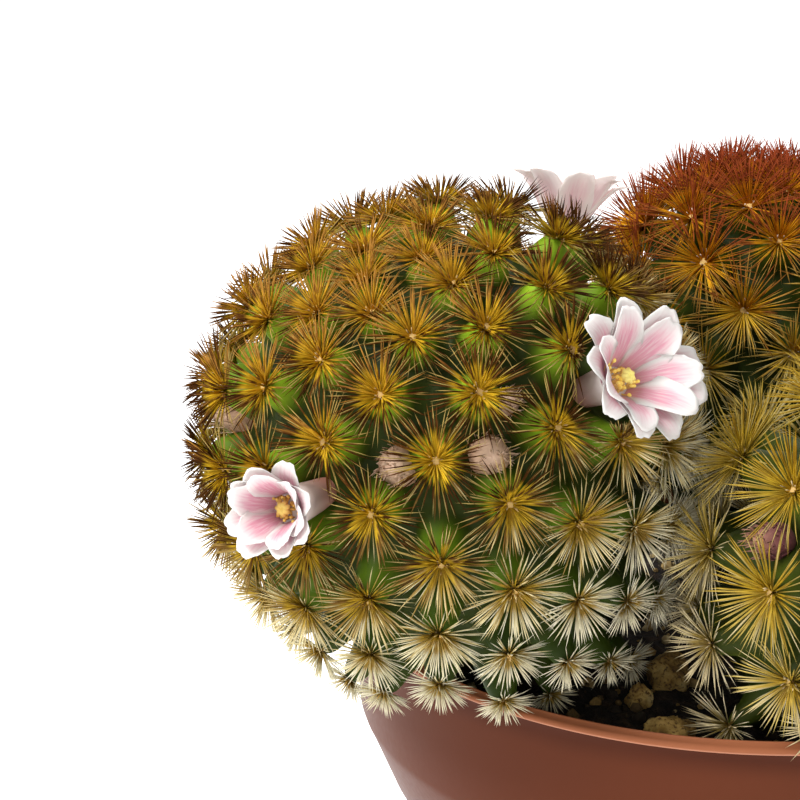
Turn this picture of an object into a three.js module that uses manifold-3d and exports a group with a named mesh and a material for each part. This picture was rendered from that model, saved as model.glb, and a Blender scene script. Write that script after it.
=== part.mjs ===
// A clump-forming round cactus in flower, in its plastic nursery pot: five globular stems covered with
// finger-like tubercles, each tubercle ending in a rosette of spines, three funnel flowers and five
// buds among them, potting soil and pumice gravel. Millimetres, +Z up. The origin is the middle of the
// pot's underside, and the front of the pot looks along -Y.
import * as THREE from "three";
import { ConvexHull } from "three/addons/math/ConvexHull.js";
import { mergeVertices } from "three/addons/utils/BufferGeometryUtils.js";
import Module from "manifold-3d";

const wasm = await Module();
wasm.setup();

// The pot: a deep collar, a sloping shoulder under it and a tapering body.
const potHeight = 70;
const beadRadius = 42.5;
const collarRadius = 41.7;
const collarDepth = 13.6;
const shoulderDepth = 24;
const shoulderRadius = 36.3;
const footRadius = 30.2;
const wall = 1.2;
const floorThickness = 1.6;
const potSides = 32;
const drainHoles = 6;
const drainHoleRadius = 2.6;
const drainCircle = 18;

// The soil and what lies in it.
const soilTop = 66.4;
const soilSink = 6;
const gap = 0.3;
const pebbles = [
  { name: "pebble_rim", at: [-10.4, -35.2], size: [2.9, 2.0, 2.3], turn: 20 },
  { name: "pebble_large", at: [-8.6, -20.4], size: [2.6, 2.2, 2.7], turn: 75 },
  { name: "pebble_amber", at: [-12.2, -25.6], size: [1.6, 1.3, 1.5], turn: 130 },
  { name: "pebble_front", at: [-4.9, -36.9], size: [1.5, 1.2, 1.1], turn: 200 },
  { name: "pebble_left", at: [-25, 10], size: [2.8, 2.2, 1.9], turn: 15 },
  { name: "pebble_back", at: [26, 22], size: [2.5, 2.1, 1.8], turn: 255 },
];

// The stems. foot is where the axis meets the soil, and apex the tip of the axis. waist is the share of
// the height at which the body is widest. tubercle is the length of a tubercle and spacing the distance
// between neighbouring rosettes. Above the share young they come closer by crowding. Each rosette is
// divergence further round than the one before it, and turning is the sense of that spiral.
const stems = [
  {
    name: "stem_main", foot: [-23.4, -10.7], apex: [-36.6, -31.5, 108.9], radius: 16.4, neck: 5.6,
    waist: 0.647, tubercle: 6.8, spacing: 8.2, crowding: 0.33, young: 0.69, spine: 4.6,
    phase: 2.76, turning: -1,
  },
  {
    name: "stem_front", foot: [3.6, -25.6], apex: [9.7, -43, 96.8], radius: 10.2, neck: 6.2,
    waist: 0.696, tubercle: 5.7, spacing: 10.3, crowding: 0.2, young: 0.7, spine: 5.6,
    phase: 5.57, turning: 1,
  },
  {
    name: "stem_rear", foot: [5.8, 16.1], apex: [6.1, 14.3, 111.1], radius: 11.4, neck: 7.5,
    waist: 0.723, tubercle: 5.7, spacing: 8.4, crowding: 0.45, young: 0.63, spine: 4.8,
    phase: 1.57, turning: 1,
  },
  {
    name: "stem_right", foot: [26.5, -2], apex: [36.3, -8, 97.5], radius: 10, neck: 7.2,
    waist: 0.66, tubercle: 5, spacing: 9.6, crowding: 0.35, young: 0.7, spine: 4.8,
    phase: 2.6, turning: -1,
  },
  {
    name: "stem_pup", foot: [-11, 25.5], apex: [-18.4, 26.3, 88], radius: 6.5, neck: 5,
    waist: 0.676, tubercle: 4, spacing: 8.3, crowding: 0.3, young: 0.7, spine: 4.2,
    phase: 1.2, turning: 1,
  },
];
const divergence = THREE.MathUtils.degToRad(137.43);
const lowestShare = 0.15;
const steepest = -0.3;
const footSides = 12;
const collarShare = 0.43;
const collarReach = 0.34;
const areoleRadius = 1.15;
const areoleHeight = 0.7;
const needleTilts = [78, 52];
const needleClearance = 0.45;
const needleMargin = 0.55;
const shortestNeedle = 1;
const rootMargin = 2.7;
const tipMargin = 1.4;

// What grows from the axils between the tubercles. throat is the point where a flower opens, and facing
// the direction that it looks in. open is the angle of its outer petals to that direction.
const flowers = [
  {
    name: "flower_right", stem: "stem_main", throat: [-17.4, -38.8, 103.6], facing: [0.5, -0.74, 0.47],
    petal: 7.4, width: 3.2, open: 56, outer: 9, inner: 7,
  },
  {
    name: "flower_left", stem: "stem_main", throat: [-46.2, -43.4, 93.4], facing: [-0.4, -0.89, 0.2],
    petal: 5.8, width: 2.9, open: 40, outer: 8, inner: 6,
  },
  {
    name: "flower_back", stem: "stem_main", throat: [-19.6, -11.5, 112.3], facing: [0.12, 0.2, 0.97],
    petal: 7.4, width: 3.1, open: 55, outer: 8, inner: 6,
  },
];
const buds = [
  { name: "bud_middle", stem: "stem_main", azimuth: -80, elevation: 12, reach: 22, radius: 2 },
  { name: "bud_centre_left", stem: "stem_main", azimuth: -104, elevation: 9, reach: 22, radius: 2 },
  { name: "bud_far_left", stem: "stem_main", azimuth: -176, elevation: 8, reach: 23, radius: 2 },
  { name: "bud_upper", stem: "stem_main", azimuth: -74, elevation: 26, reach: 21, radius: 1.5 },
  { name: "bud_front", stem: "stem_front", azimuth: -154, elevation: 12, reach: 15, radius: 1.8 },
];
const guestDepth = 1.2;
const roomAbove = 6;
const tubeRadius = 1.5;
const throatRadius = 1.9;
const petalThickness = 0.7;

const colours = {
  pot: 0x7c4630, soil: 0x1d150e, pebble: 0xa98b54, flesh: 0x3f6a2a, petal: 0xf1d3e2, stamen: 0xe2bd3a,
  bud: 0xc7988a,
};

const vector = (x, y, z) => new THREE.Vector3(x, y, z);
const clamp = (value, low, high) => Math.min(high, Math.max(low, value));
const smooth = (value) => {
  const t = clamp(value, 0, 1);
  return t * t * (3 - 2 * t);
};
const fraction = (value) => value - Math.floor(value);

// A closed three.js geometry as a solid, and a solid as a geometry.
function solidOf(geometry) {
  const bare = new THREE.BufferGeometry();
  bare.setAttribute("position", geometry.getAttribute("position").clone());
  if (geometry.index) bare.setIndex(geometry.index.clone());
  const merged = mergeVertices(bare, 1e-4);
  return new wasm.Manifold(new wasm.Mesh({
    numProp: 3,
    vertProperties: new Float32Array(merged.attributes.position.array),
    triVerts: new Uint32Array(merged.index.array),
  }));
}

function geometryOf(solid) {
  const mesh = solid.getMesh();
  const geometry = new THREE.BufferGeometry();
  geometry.setAttribute("position", new THREE.BufferAttribute(mesh.vertProperties, 3));
  geometry.setIndex(new THREE.BufferAttribute(mesh.triVerts, 1));
  geometry.computeVertexNormals();
  return geometry;
}

function solidFromLists(points, faces) {
  const geometry = new THREE.BufferGeometry();
  const places = points.flatMap((p) => [p.x, p.y, p.z]);
  geometry.setAttribute("position", new THREE.Float32BufferAttribute(places, 3));
  geometry.setIndex(faces.flat());
  return solidOf(geometry);
}

const joined = (solids) => solids.reduce((sum, next) => sum.add(next));

// Pairs of solids are joined first, so that no single join is large.
function joinedInPairs(solids) {
  let round = solids;
  while (round.length > 1) {
    const next = [];
    for (let i = 0; i < round.length; i += 2) {
      next.push(i + 1 < round.length ? round[i].add(round[i + 1]) : round[i]);
    }
    round = next;
  }
  return round[0];
}

const largestBody = (solid) =>
  solid.decompose().reduce((best, next) => (next.volume() > best.volume() ? next : best));

// A profile of [radius, height] pairs, listed from the bottom up the outside, turned about +Z.
function turned(profile, sides) {
  const lathe = new THREE.LatheGeometry(profile.map(([r, z]) => new THREE.Vector2(r, z)), sides);
  return lathe.rotateX(Math.PI / 2);
}

function mesh(name, solid, colour, roughness) {
  const material = new THREE.MeshStandardMaterial({ color: colour, roughness, metalness: 0 });
  const made = new THREE.Mesh(geometryOf(solid), material);
  made.name = name;
  return made;
}

// The pot's outside from the foot to the bead, and the inside from the lip down.
const potOutside = [
  [0, 0],
  [footRadius, 0],
  [shoulderRadius - 0.6, potHeight - shoulderDepth - 4],
  [shoulderRadius, potHeight - shoulderDepth],
  [shoulderRadius + 1.3, potHeight - shoulderDepth + 2.2],
  [collarRadius - 1.3, potHeight - collarDepth - 1.6],
  [collarRadius - 0.5, potHeight - collarDepth],
  [collarRadius, potHeight - 2.1],
  [beadRadius, potHeight - 1.5],
  [beadRadius, potHeight - 0.9],
  [beadRadius - 0.4, potHeight - 0.2],
  [beadRadius - 0.9, potHeight],
];
const potInside = [
  [collarRadius - wall + 0.5, potHeight],
  [collarRadius - wall, potHeight - 0.6],
  [collarRadius - wall - 0.5, potHeight - collarDepth],
  [shoulderRadius - wall, potHeight - shoulderDepth],
  [footRadius - wall + 0.5, floorThickness],
  [0, floorThickness],
];

function drainHole(index) {
  const angle = (index / drainHoles) * 2 * Math.PI;
  const drill = new THREE.CylinderGeometry(drainHoleRadius, drainHoleRadius, 3 * floorThickness, 10);
  drill.rotateX(Math.PI / 2);
  drill.translate(drainCircle * Math.cos(angle), drainCircle * Math.sin(angle), 0);
  return solidOf(drill);
}

function makePot() {
  const shell = solidOf(turned([...potOutside, ...potInside], potSides));
  const drills = Array.from({ length: drainHoles }, (_, index) => drainHole(index));
  return shell.subtract(joined(drills));
}

// A stem's own frame: its axis, two directions across it and its height above the soil.
for (const stem of stems) {
  stem.base = vector(stem.foot[0], stem.foot[1], soilTop);
  stem.tip = vector(...stem.apex);
  stem.height = stem.tip.distanceTo(stem.base);
  stem.axis = stem.tip.clone().sub(stem.base).normalize();
  stem.side = vector(0, 1, 0).cross(stem.axis).normalize();
  stem.depth = stem.axis.clone().cross(stem.side);
  stem.middle = stem.base.clone().addScaledVector(stem.axis, stem.height * stem.waist);
}

const stemNamed = (name) => stems.find((stem) => stem.name === name);

function inStemFrame(stem, radius, angle, height) {
  return stem.base.clone()
    .addScaledVector(stem.side, radius * Math.cos(angle))
    .addScaledVector(stem.depth, radius * Math.sin(angle))
    .addScaledVector(stem.axis, height);
}

// The body's outline at share 0 (the soil) to 1 (the apex), as [radius, height, outward radius part,
// outward height part].
function outline(stem, share) {
  const waistHeight = stem.height * stem.waist;
  const dome = stem.height - waistHeight;
  if (share < 0.5) {
    const bend = Math.PI * share;
    const radius = stem.neck + (stem.radius - stem.neck) * Math.sin(bend);
    const rise = 2 * waistHeight;
    const spread = (stem.radius - stem.neck) * Math.PI * Math.cos(bend);
    const length = Math.hypot(rise, spread);
    return [radius, rise * share, rise / length, -spread / length];
  }
  const bend = Math.PI * (share - 0.5);
  const [across, along] = [Math.cos(bend), Math.sin(bend)];
  const length = Math.hypot(across * dome, along * stem.radius);
  return [
    stem.radius * across, waistHeight + dome * along,
    (across * dome) / length, (along * stem.radius) / length,
  ];
}

// Tubercles are shorter and closer together where they are young, next to the apex. steepest is the
// most that an old one points downward.
function youth(stem, share) {
  return smooth((share - stem.young) / (1 - stem.young));
}

function tipAt(stem, share) {
  const [radius, height, , slope] = outline(stem, share);
  const upward = Math.max(slope, steepest);
  const length = stem.tubercle * (1 - 0.45 * youth(stem, share));
  return [radius + length * Math.sqrt(1 - upward * upward), height + length * upward];
}

// The spiral of tubercles from the apex down: each takes the area that its spacing asks for.
function spiral(stem) {
  const steps = 400;
  const found = [];
  let count = 0;
  let before = tipAt(stem, 1);
  for (let i = 1; i < steps * (1 - lowestShare); i += 1) {
    const share = 1 - i / steps;
    const now = tipAt(stem, share);
    const step = Math.hypot(now[0] - before[0], now[1] - before[1]);
    const pitch = stem.spacing * (1 - stem.crowding * youth(stem, share));
    count += (2 * Math.PI * Math.max(now[0], 0.2) * step) / (0.866 * pitch * pitch);
    while (count >= found.length + 0.6) {
      found.push({ share, angle: stem.phase + stem.turning * divergence * found.length });
    }
    before = now;
  }
  return found;
}

// Everything that a needle or a tubercle has to stay out of is a test on a point and a margin.
function insidePot(point, margin) {
  const radius = Math.hypot(point.x, point.y);
  if (point.z > potHeight + margin || point.z < 0) return false;
  if (radius > collarRadius - wall - margin && radius < beadRadius + margin) return true;
  return radius <= collarRadius && point.z < soilTop + 0.9 + margin;
}

function insidePebble(pebble, point, margin) {
  const [x, y] = pebble.at;
  const reach = Math.max(...pebble.size) + margin;
  return Math.hypot(point.x - x, point.y - y, point.z - pebbleHeight(pebble)) < reach;
}

function beyondNeighbour(stem, point, margin) {
  return stems.some((other) => {
    if (other === stem) return false;
    const apart = other.middle.clone().sub(stem.middle);
    const distance = apart.length();
    const own = stem.radius + stem.tubercle;
    const theirs = other.radius + other.tubercle;
    const border = own + ((distance - own - theirs) * own) / (own + theirs);
    return point.clone().sub(stem.middle).dot(apart) / distance > border - margin;
  });
}

// The outer radius of a flower at a height above its throat, open bowl included.
function flowerRadius(flower, height) {
  if (height < 0) return throatRadius;
  const spread = Math.sin(THREE.MathUtils.degToRad(flower.open));
  return throatRadius + Math.min(1, (height + 0.8) / (0.62 * flower.petal)) * flower.petal * spread;
}

function insideFlower(flower, point, margin) {
  const offset = point.clone().sub(flower.at);
  const height = offset.dot(flower.looks);
  const radius = Math.sqrt(Math.max(0, offset.lengthSq() - height * height));
  if (height > -0.9 && height < flower.petal + 2) return radius < flowerRadius(flower, height) + margin;
  return nearLine(point, flower.root, flower.at) < throatRadius + margin;
}

function nearLine(point, from, to) {
  const span = to.clone().sub(from);
  const along = clamp(point.clone().sub(from).dot(span) / span.lengthSq(), 0, 1);
  return point.distanceTo(from.clone().addScaledVector(span, along));
}

const grounded = (point, margin) =>
  insidePot(point, margin) || pebbles.some((pebble) => insidePebble(pebble, point, margin));

function blocked(stem, point, margin) {
  return (
    grounded(point, margin) ||
    beyondNeighbour(stem, point, margin) ||
    flowers.some((flower) => insideFlower(flower, point, margin)) ||
    buds.some((bud) => nearLine(point, bud.root, bud.at) < bud.radius + margin)
  );
}

// Flowers and buds stand on the body: root is where the tube or bud leaves it.
for (const flower of flowers) {
  const stem = stemNamed(flower.stem);
  flower.at = vector(...flower.throat);
  flower.looks = vector(...flower.facing).normalize();
  const out = flower.at.clone().sub(stem.middle).normalize();
  flower.root = stem.middle.clone().addScaledVector(out, stem.radius - guestDepth);
}
for (const bud of buds) {
  const stem = stemNamed(bud.stem);
  const azimuth = THREE.MathUtils.degToRad(bud.azimuth);
  const elevation = THREE.MathUtils.degToRad(bud.elevation);
  const out = vector(
    Math.cos(elevation) * Math.cos(azimuth), Math.cos(elevation) * Math.sin(azimuth), Math.sin(elevation),
  );
  bud.root = stem.middle.clone().addScaledVector(out, stem.radius - guestDepth);
  bud.at = stem.middle.clone().addScaledVector(out, bud.reach - bud.radius);
  bud.looks = out;
}

// Each tubercle: its root on the body, its tip, and the direction it points in. Those beside a flower
// or bud lean away from it, and those with no room for their tip are left out.
function tubercles(stem) {
  const found = [];
  const guests = [...flowers, ...buds].filter((guest) => guest.stem === stem.name);
  for (const { share, angle } of spiral(stem)) {
    const [radius, height] = outline(stem, share);
    const [tipRadius, tipHeight] = tipAt(stem, share);
    const root = inStemFrame(stem, radius, angle, height);
    const tip = inStemFrame(stem, tipRadius, angle, tipHeight);
    const crowded = guests.some((guest) => root.distanceTo(guest.root) < 2);
    for (const guest of guests) {
      const room = (guest.radius ?? throatRadius + 0.4) + 1.7;
      const near = nearLine(tip, guest.root, guest.at);
      if (near < room) {
        const away = tip.clone().sub(guest.root);
        const line = guest.at.clone().sub(guest.root).normalize();
        away.addScaledVector(line, -away.dot(line));
        tip.addScaledVector(away.normalize(), room - near);
      }
    }
    const low = [0.25, 0.6].some((part) =>
      grounded(root.clone().lerp(tip, part), rootMargin + (tipMargin - rootMargin) * part));
    if (!crowded && !low && !blocked(stem, tip, shortestNeedle + gap)) {
      const pointing = tip.clone().sub(root).normalize();
      found.push({ root, tip, share, pointing, order: found.length });
    }
  }
  return found;
}

// How much of a needle from one point to another is clear of everything else, other needles included.
function clearShare(stem, from, to, laid) {
  const checks = 10;
  for (let i = 2; i <= checks; i += 1) {
    const point = from.clone().lerp(to, i / checks);
    const crosses = laid.some(([start, end]) => nearLine(point, start, end) < needleClearance);
    if (crosses || blocked(stem, point, needleMargin)) return (i - 1.5) / checks;
  }
  return 1;
}

// The radius and height of a stem's foot, sunk in the soil along the tangent of its outline.
function footOf(stem) {
  const slope = ((stem.radius - stem.neck) * Math.PI) / (2 * stem.height * stem.waist);
  return [stem.neck - slope * soilSink, -soilSink];
}

// The hole in the soil that a stem's foot stands in: its outline with the gap on every side.
function footHole(stem) {
  const [footRadius, depth] = footOf(stem);
  const grow = 1 / Math.cos(Math.PI / footSides);
  const profile = [[0, depth - gap], [footRadius + gap, depth - gap]];
  for (const height of [0, 4, 8, 12]) {
    const radius = outline(stem, height / (2 * stem.height * stem.waist))[0];
    profile.push([(radius + gap) * grow, height]);
  }
  const frame = new THREE.Matrix4().makeBasis(stem.side, stem.depth, stem.axis).setPosition(stem.base);
  return solidOf(turned([...profile, [0, 12]], footSides).applyMatrix4(frame));
}

// A stem as one closed mesh. Its body is the convex hull of the roots of its tubercles and of its foot.
// Each root is replaced by a collar with a corner on the way to each of its neighbours, which the
// tubercle rises from. The tubercle ends in a ring with as many corners, and a needle stands on each
// side of that ring.
function makeStem(stem) {
  const grown = tubercles(stem);
  const [footRing, footDepth] = footOf(stem);
  const feet = Array.from({ length: footSides }, (_, k) =>
    inStemFrame(stem, footRing, (k / footSides) * 2 * Math.PI, footDepth));
  const hull = new ConvexHull().setFromPoints([...grown.map((tubercle) => tubercle.root), ...feet]);
  const growing = new Map(grown.map((tubercle) => [tubercle.root, tubercle]));
  const following = new Map(grown.map((tubercle) => [tubercle.root, new Map()]));

  const points = [];
  const faces = [];
  const added = new Map();
  const place = (key, point) => {
    if (!added.has(key)) {
      added.set(key, points.length);
      points.push(point);
    }
    return added.get(key);
  };
  const numbers = new Map();
  const number = (root) => {
    if (!numbers.has(root)) numbers.set(root, numbers.size);
    return numbers.get(root);
  };
  const collar = (root, neighbour) => {
    if (!growing.has(root)) return place(`foot ${number(root)}`, root);
    const share = Math.min(collarShare, (collarReach * stem.spacing) / root.distanceTo(neighbour));
    return place(`${number(root)} ${number(neighbour)}`, root.clone().lerp(neighbour, share));
  };

  for (const face of hull.faces) {
    const first = face.edge;
    const corners = [first, first.next, first.next.next].map((edge) => edge.head().point);
    const loop = corners.flatMap((root, i) => {
      const [after, before] = [corners[(i + 1) % 3], corners[(i + 2) % 3]];
      following.get(root)?.set(after, before);
      return [collar(root, before), collar(root, after)];
    });
    const around = loop.filter((corner, i) => corner !== loop[(i + 1) % loop.length]);
    for (let i = 1; i < around.length - 1; i += 1) faces.push([around[0], around[i], around[i + 1]]);
  }

  const laid = [];
  for (const [root, next] of following) {
    if (next.size < 3) continue;
    const ringRoots = [[...next.keys()][0]];
    while (ringRoots.length < next.size) ringRoots.push(next.get(ringRoots.at(-1)));
    const collars = ringRoots.map((neighbour) => collar(root, neighbour));
    faces.push(...rosette(stem, growing.get(root), collars, points, laid));
  }
  let solid = solidFromLists(points, faces);
  for (const guest of [...flowers, ...buds]) {
    if (guest.stem === stem.name) solid = solid.subtract(guestRoom(guest));
  }
  return largestBody(solid);
}

// The faces of one tubercle and its needles, on the collar corners given. Its new points are added to
// points, and its needles to those already laid.
function rosette(stem, tubercle, collars, points, laid) {
  const { tip, pointing } = tubercle;
  const size = 1 - 0.35 * youth(stem, tubercle.share);
  const count = collars.length;
  const outward = collars.map((corner) => {
    const aside = points[corner].clone().sub(tubercle.root);
    return aside.addScaledVector(pointing, -aside.dot(pointing)).normalize();
  });
  const add = (direction, distance) =>
    points.push(tip.clone().addScaledVector(direction, distance)) - 1;
  const neck = outward.map((aside) => add(aside, areoleRadius * size));
  const top = add(pointing, areoleHeight * size);
  const nearby = laid.filter(([start]) => start.distanceTo(tip) < 2.6 * stem.spacing);
  return collars.flatMap((corner, k) => {
    const after = (k + 1) % count;
    const tilt = THREE.MathUtils.degToRad(needleTilts[(k + tubercle.order) % needleTilts.length]);
    const aim = outward[k].clone().add(outward[after]).normalize().multiplyScalar(Math.sin(tilt));
    aim.addScaledVector(pointing, Math.cos(tilt));
    const reach = stem.spine * size * (0.92 + 0.16 * fraction(tubercle.order * 0.618 + k * 0.381));
    const kept = clearShare(stem, tip, tip.clone().addScaledVector(aim, reach), nearby);
    const needle = add(aim, Math.max(shortestNeedle * size, reach * kept));
    laid.push([tip, points[needle]]);
    return [
      [corner, collars[after], neck[after]], [corner, neck[after], neck[k]],
      [neck[k], neck[after], needle], [top, neck[k], needle], [top, needle, neck[after]],
    ];
  });
}

function placedAlong(geometry, from, direction) {
  const turn = new THREE.Quaternion().setFromUnitVectors(vector(0, 0, 1), direction);
  return geometry.applyQuaternion(turn).translate(from.x, from.y, from.z);
}

// The room that a flower tube or bud needs among the tubercles.
function guestRoom(guest) {
  const radius = (guest.radius ?? throatRadius) + gap;
  const span = guest.at.clone().sub(guest.root);
  const length = span.length() + roomAbove;
  const room = turned([[0, -gap], [radius, -gap], [radius, length], [0, length]], 10);
  return solidOf(placedAlong(room, guest.root, span.normalize()));
}

// Soil: a plug that follows the inside of the pot, with an uneven top.
function soilHeight(x, y) {
  const rough = Math.sin(x * 0.61 + 1.3) * Math.cos(y * 0.53) + 0.5 * Math.sin(x * 1.37 - y * 1.13);
  const edge = smooth((Math.hypot(x, y) - 30) / 9);
  return soilTop + 0.45 * rough - 0.5 * edge;
}

function makeSoil() {
  const sides = potSides;
  const circles = 3;
  const lowered = [
    [footRadius - wall + 0.5 - gap, floorThickness + gap],
    [shoulderRadius - wall - gap, potHeight - shoulderDepth],
    [collarRadius - wall - 0.5 - gap, potHeight - collarDepth],
  ];
  const rimRadius = collarRadius - wall - 0.1 - gap;
  const points = [vector(0, 0, floorThickness + gap)];
  const rings = lowered.map(([radius, z]) => ({ radius, z }));
  for (let i = circles; i > 0; i -= 1) rings.push({ radius: (rimRadius * i) / circles });
  for (const { radius, z } of rings) {
    for (let k = 0; k < sides; k += 1) {
      const angle = (k / sides) * 2 * Math.PI;
      const [x, y] = [radius * Math.cos(angle), radius * Math.sin(angle)];
      points.push(vector(x, y, z ?? soilHeight(x, y)));
    }
  }
  points.push(vector(0, 0, soilHeight(0, 0)));
  const faces = [];
  const last = points.length - 1;
  for (let k = 0; k < sides; k += 1) {
    const next = (k + 1) % sides;
    faces.push([0, 1 + next, 1 + k]);
    for (let i = 0; i < rings.length - 1; i += 1) {
      const [low, high] = [1 + i * sides, 1 + (i + 1) * sides];
      faces.push([low + k, low + next, high + next], [low + k, high + next, high + k]);
    }
    faces.push([last - sides + k, last - sides + next, last]);
  }
  let solid = solidFromLists(points, faces);
  for (const stem of stems) solid = solid.subtract(footHole(stem));
  for (const pebble of pebbles) solid = solid.subtract(stone(pebble, gap));
  return largestBody(solid);
}

// A pumice pebble: an uneven, flattened ball that is sunk a third into the soil.
function pebbleHeight(pebble) {
  return soilHeight(...pebble.at) + pebble.size[2] * 0.35;
}

function stone(pebble, wider) {
  const rock = new THREE.IcosahedronGeometry(1, 1);
  const place = rock.getAttribute("position");
  for (let i = 0; i < place.count; i += 1) {
    const p = vector().fromBufferAttribute(place, i);
    const lump = 1 + 0.13 * Math.sin(3.1 * p.x + pebble.turn) * Math.cos(2.7 * p.y + 1.9 * p.z);
    place.setXYZ(
      i,
      p.x * (pebble.size[0] * lump + wider),
      p.y * (pebble.size[1] * lump + wider),
      p.z * (pebble.size[2] * lump + wider),
    );
  }
  rock.rotateZ(THREE.MathUtils.degToRad(pebble.turn));
  rock.translate(pebble.at[0], pebble.at[1], pebbleHeight(pebble));
  return solidOf(rock);
}

// One petal in a flower's frame (+Z is where the flower looks): a thin blade that widens and bends
// outward from the throat to a blunt tip.
function petalBlade(flower, layer, angle) {
  const stations = [0, 0.4, 0.78, 1];
  const widths = [0.25, 0.62, 1, 0.34];
  const length = flower.petal * layer.length;
  const points = [];
  let [radius, height] = layer.root;
  let before = 0;
  stations.forEach((station, i) => {
    const lean = THREE.MathUtils.degToRad(layer.lean * (0.45 + 0.75 * station));
    radius += (station - before) * length * Math.sin(lean);
    height += (station - before) * length * Math.cos(lean);
    before = station;
    const half = 0.5 * flower.width * widths[i];
    const [outX, outZ] = [-Math.cos(lean) * petalThickness / 2, Math.sin(lean) * petalThickness / 2];
    const corner = (side, face) => vector(
      (radius + face * outX) * Math.cos(angle) - side * Math.sin(angle),
      (radius + face * outX) * Math.sin(angle) + side * Math.cos(angle),
      height + face * outZ,
    );
    points.push(corner(-half, -1), corner(half, -1), corner(half, 1), corner(-half, 1));
  });
  const faces = [[0, 3, 2], [0, 2, 1]];
  for (let i = 0; i < stations.length - 1; i += 1) {
    for (let k = 0; k < 4; k += 1) {
      const [a, b] = [4 * i + k, 4 * i + ((k + 1) % 4)];
      faces.push([a, b, b + 4], [a, b + 4, a + 4]);
    }
  }
  const end = 4 * (stations.length - 1);
  faces.push([end, end + 1, end + 2], [end, end + 2, end + 3]);
  return solidFromLists(points, faces);
}

function makeFlower(flower) {
  const layers = [
    { count: flower.outer, lean: flower.open, length: 1, start: 0, root: [1.25, -0.6] },
    { count: flower.inner, lean: flower.open * 0.78, length: 0.9, start: 0.5, root: [1.25, 0] },
  ];
  const blades = layers.flatMap((layer) => Array.from({ length: layer.count }, (_, k) =>
    petalBlade(flower, layer, ((k + layer.start) / layer.count) * 2 * Math.PI)));
  const cup = solidOf(turned([[0, -1.4], [tubeRadius, -1.4], [throatRadius, 0], [0, 0.2]], 10));
  const opened = joinedInPairs([cup, ...blades]);
  const placed = solidOf(placedAlong(geometryOf(opened), flower.at, flower.looks));
  const span = flower.at.clone().sub(flower.root);
  const length = span.length() - 0.6;
  const tube = turned([[0, 0], [tubeRadius * 0.8, 0], [tubeRadius, length], [0, length + 0.2]], 8);
  const stalk = solidOf(placedAlong(tube, flower.root, span.normalize()));
  return largestBody(placed.add(stalk));
}

// The stamens: a low cushion that bristles with filaments.
function makeStamens(flower) {
  const parts = [solidOf(turned([[0, 0.5], [0.55, 0.5], [0.75, 1.6], [0, 2.6]], 6))];
  const filaments = 5;
  for (let k = 0; k < filaments; k += 1) {
    const angle = (k / filaments) * 2 * Math.PI;
    const lean = k % 2 ? 0.5 : 0.25;
    const [across, up] = [Math.sin(lean), Math.cos(lean)];
    const aim = vector(across * Math.cos(angle), across * Math.sin(angle), up);
    const thread = turned([[0, 0], [0.2, 0], [0.45, 2.4], [0, 2.8]], 4);
    const foot = vector(0.2 * Math.cos(angle), 0.2 * Math.sin(angle), 0.8);
    parts.push(solidOf(placedAlong(thread, foot, aim)));
  }
  const cushion = geometryOf(joinedInPairs(parts));
  return largestBody(solidOf(placedAlong(cushion, flower.at, flower.looks)));
}

// A bud: a pointed egg whose scales show as folds.
function makeBud(bud) {
  const span = bud.at.distanceTo(bud.root) + bud.radius;
  const [sides, rings, scales] = [8, 5, 4];
  const points = [vector(0, 0, 0)];
  for (let i = 1; i < rings; i += 1) {
    const share = i / rings;
    for (let k = 0; k < sides; k += 1) {
      const angle = (k / sides) * 2 * Math.PI;
      const fold = 1 + 0.1 * Math.cos(scales * angle + 4 * share);
      const radius = 0.92 * bud.radius * fold * Math.sin(Math.PI * share ** 1.25) ** 0.7;
      points.push(vector(radius * Math.cos(angle), radius * Math.sin(angle), share * span));
    }
  }
  points.push(vector(0, 0, span));
  const faces = [];
  const last = points.length - 1;
  for (let k = 0; k < sides; k += 1) {
    const next = (k + 1) % sides;
    faces.push([0, 1 + next, 1 + k]);
    for (let i = 0; i < rings - 2; i += 1) {
      const [low, high] = [1 + i * sides, 1 + (i + 1) * sides];
      faces.push([low + k, low + next, high + next], [low + k, high + next, high + k]);
    }
    faces.push([last - sides + k, last - sides + next, last]);
  }
  const egg = geometryOf(solidFromLists(points, faces));
  return solidOf(placedAlong(egg, bud.root, bud.looks));
}

const pottedCactus = new THREE.Group();
pottedCactus.name = "potted_round_cactus";
pottedCactus.add(mesh("pot", makePot(), colours.pot, 0.45));
pottedCactus.add(mesh("soil", makeSoil(), colours.soil, 1));
for (const pebble of pebbles) {
  pottedCactus.add(mesh(pebble.name, stone(pebble, 0), colours.pebble, 0.9));
}
for (const stem of stems) {
  pottedCactus.add(mesh(stem.name, makeStem(stem), colours.flesh, 0.5));
}
for (const flower of flowers) {
  pottedCactus.add(mesh(`${flower.name}_petals`, makeFlower(flower), colours.petal, 0.6));
  pottedCactus.add(mesh(`${flower.name}_stamens`, makeStamens(flower), colours.stamen, 0.7));
}
for (const bud of buds) {
  pottedCactus.add(mesh(bud.name, makeBud(bud), colours.bud, 0.7));
}

export default pottedCactus;
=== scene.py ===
import math
import random

import bmesh
import bpy
import numpy as np
from mathutils import Euler, Matrix, Vector, noise


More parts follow.
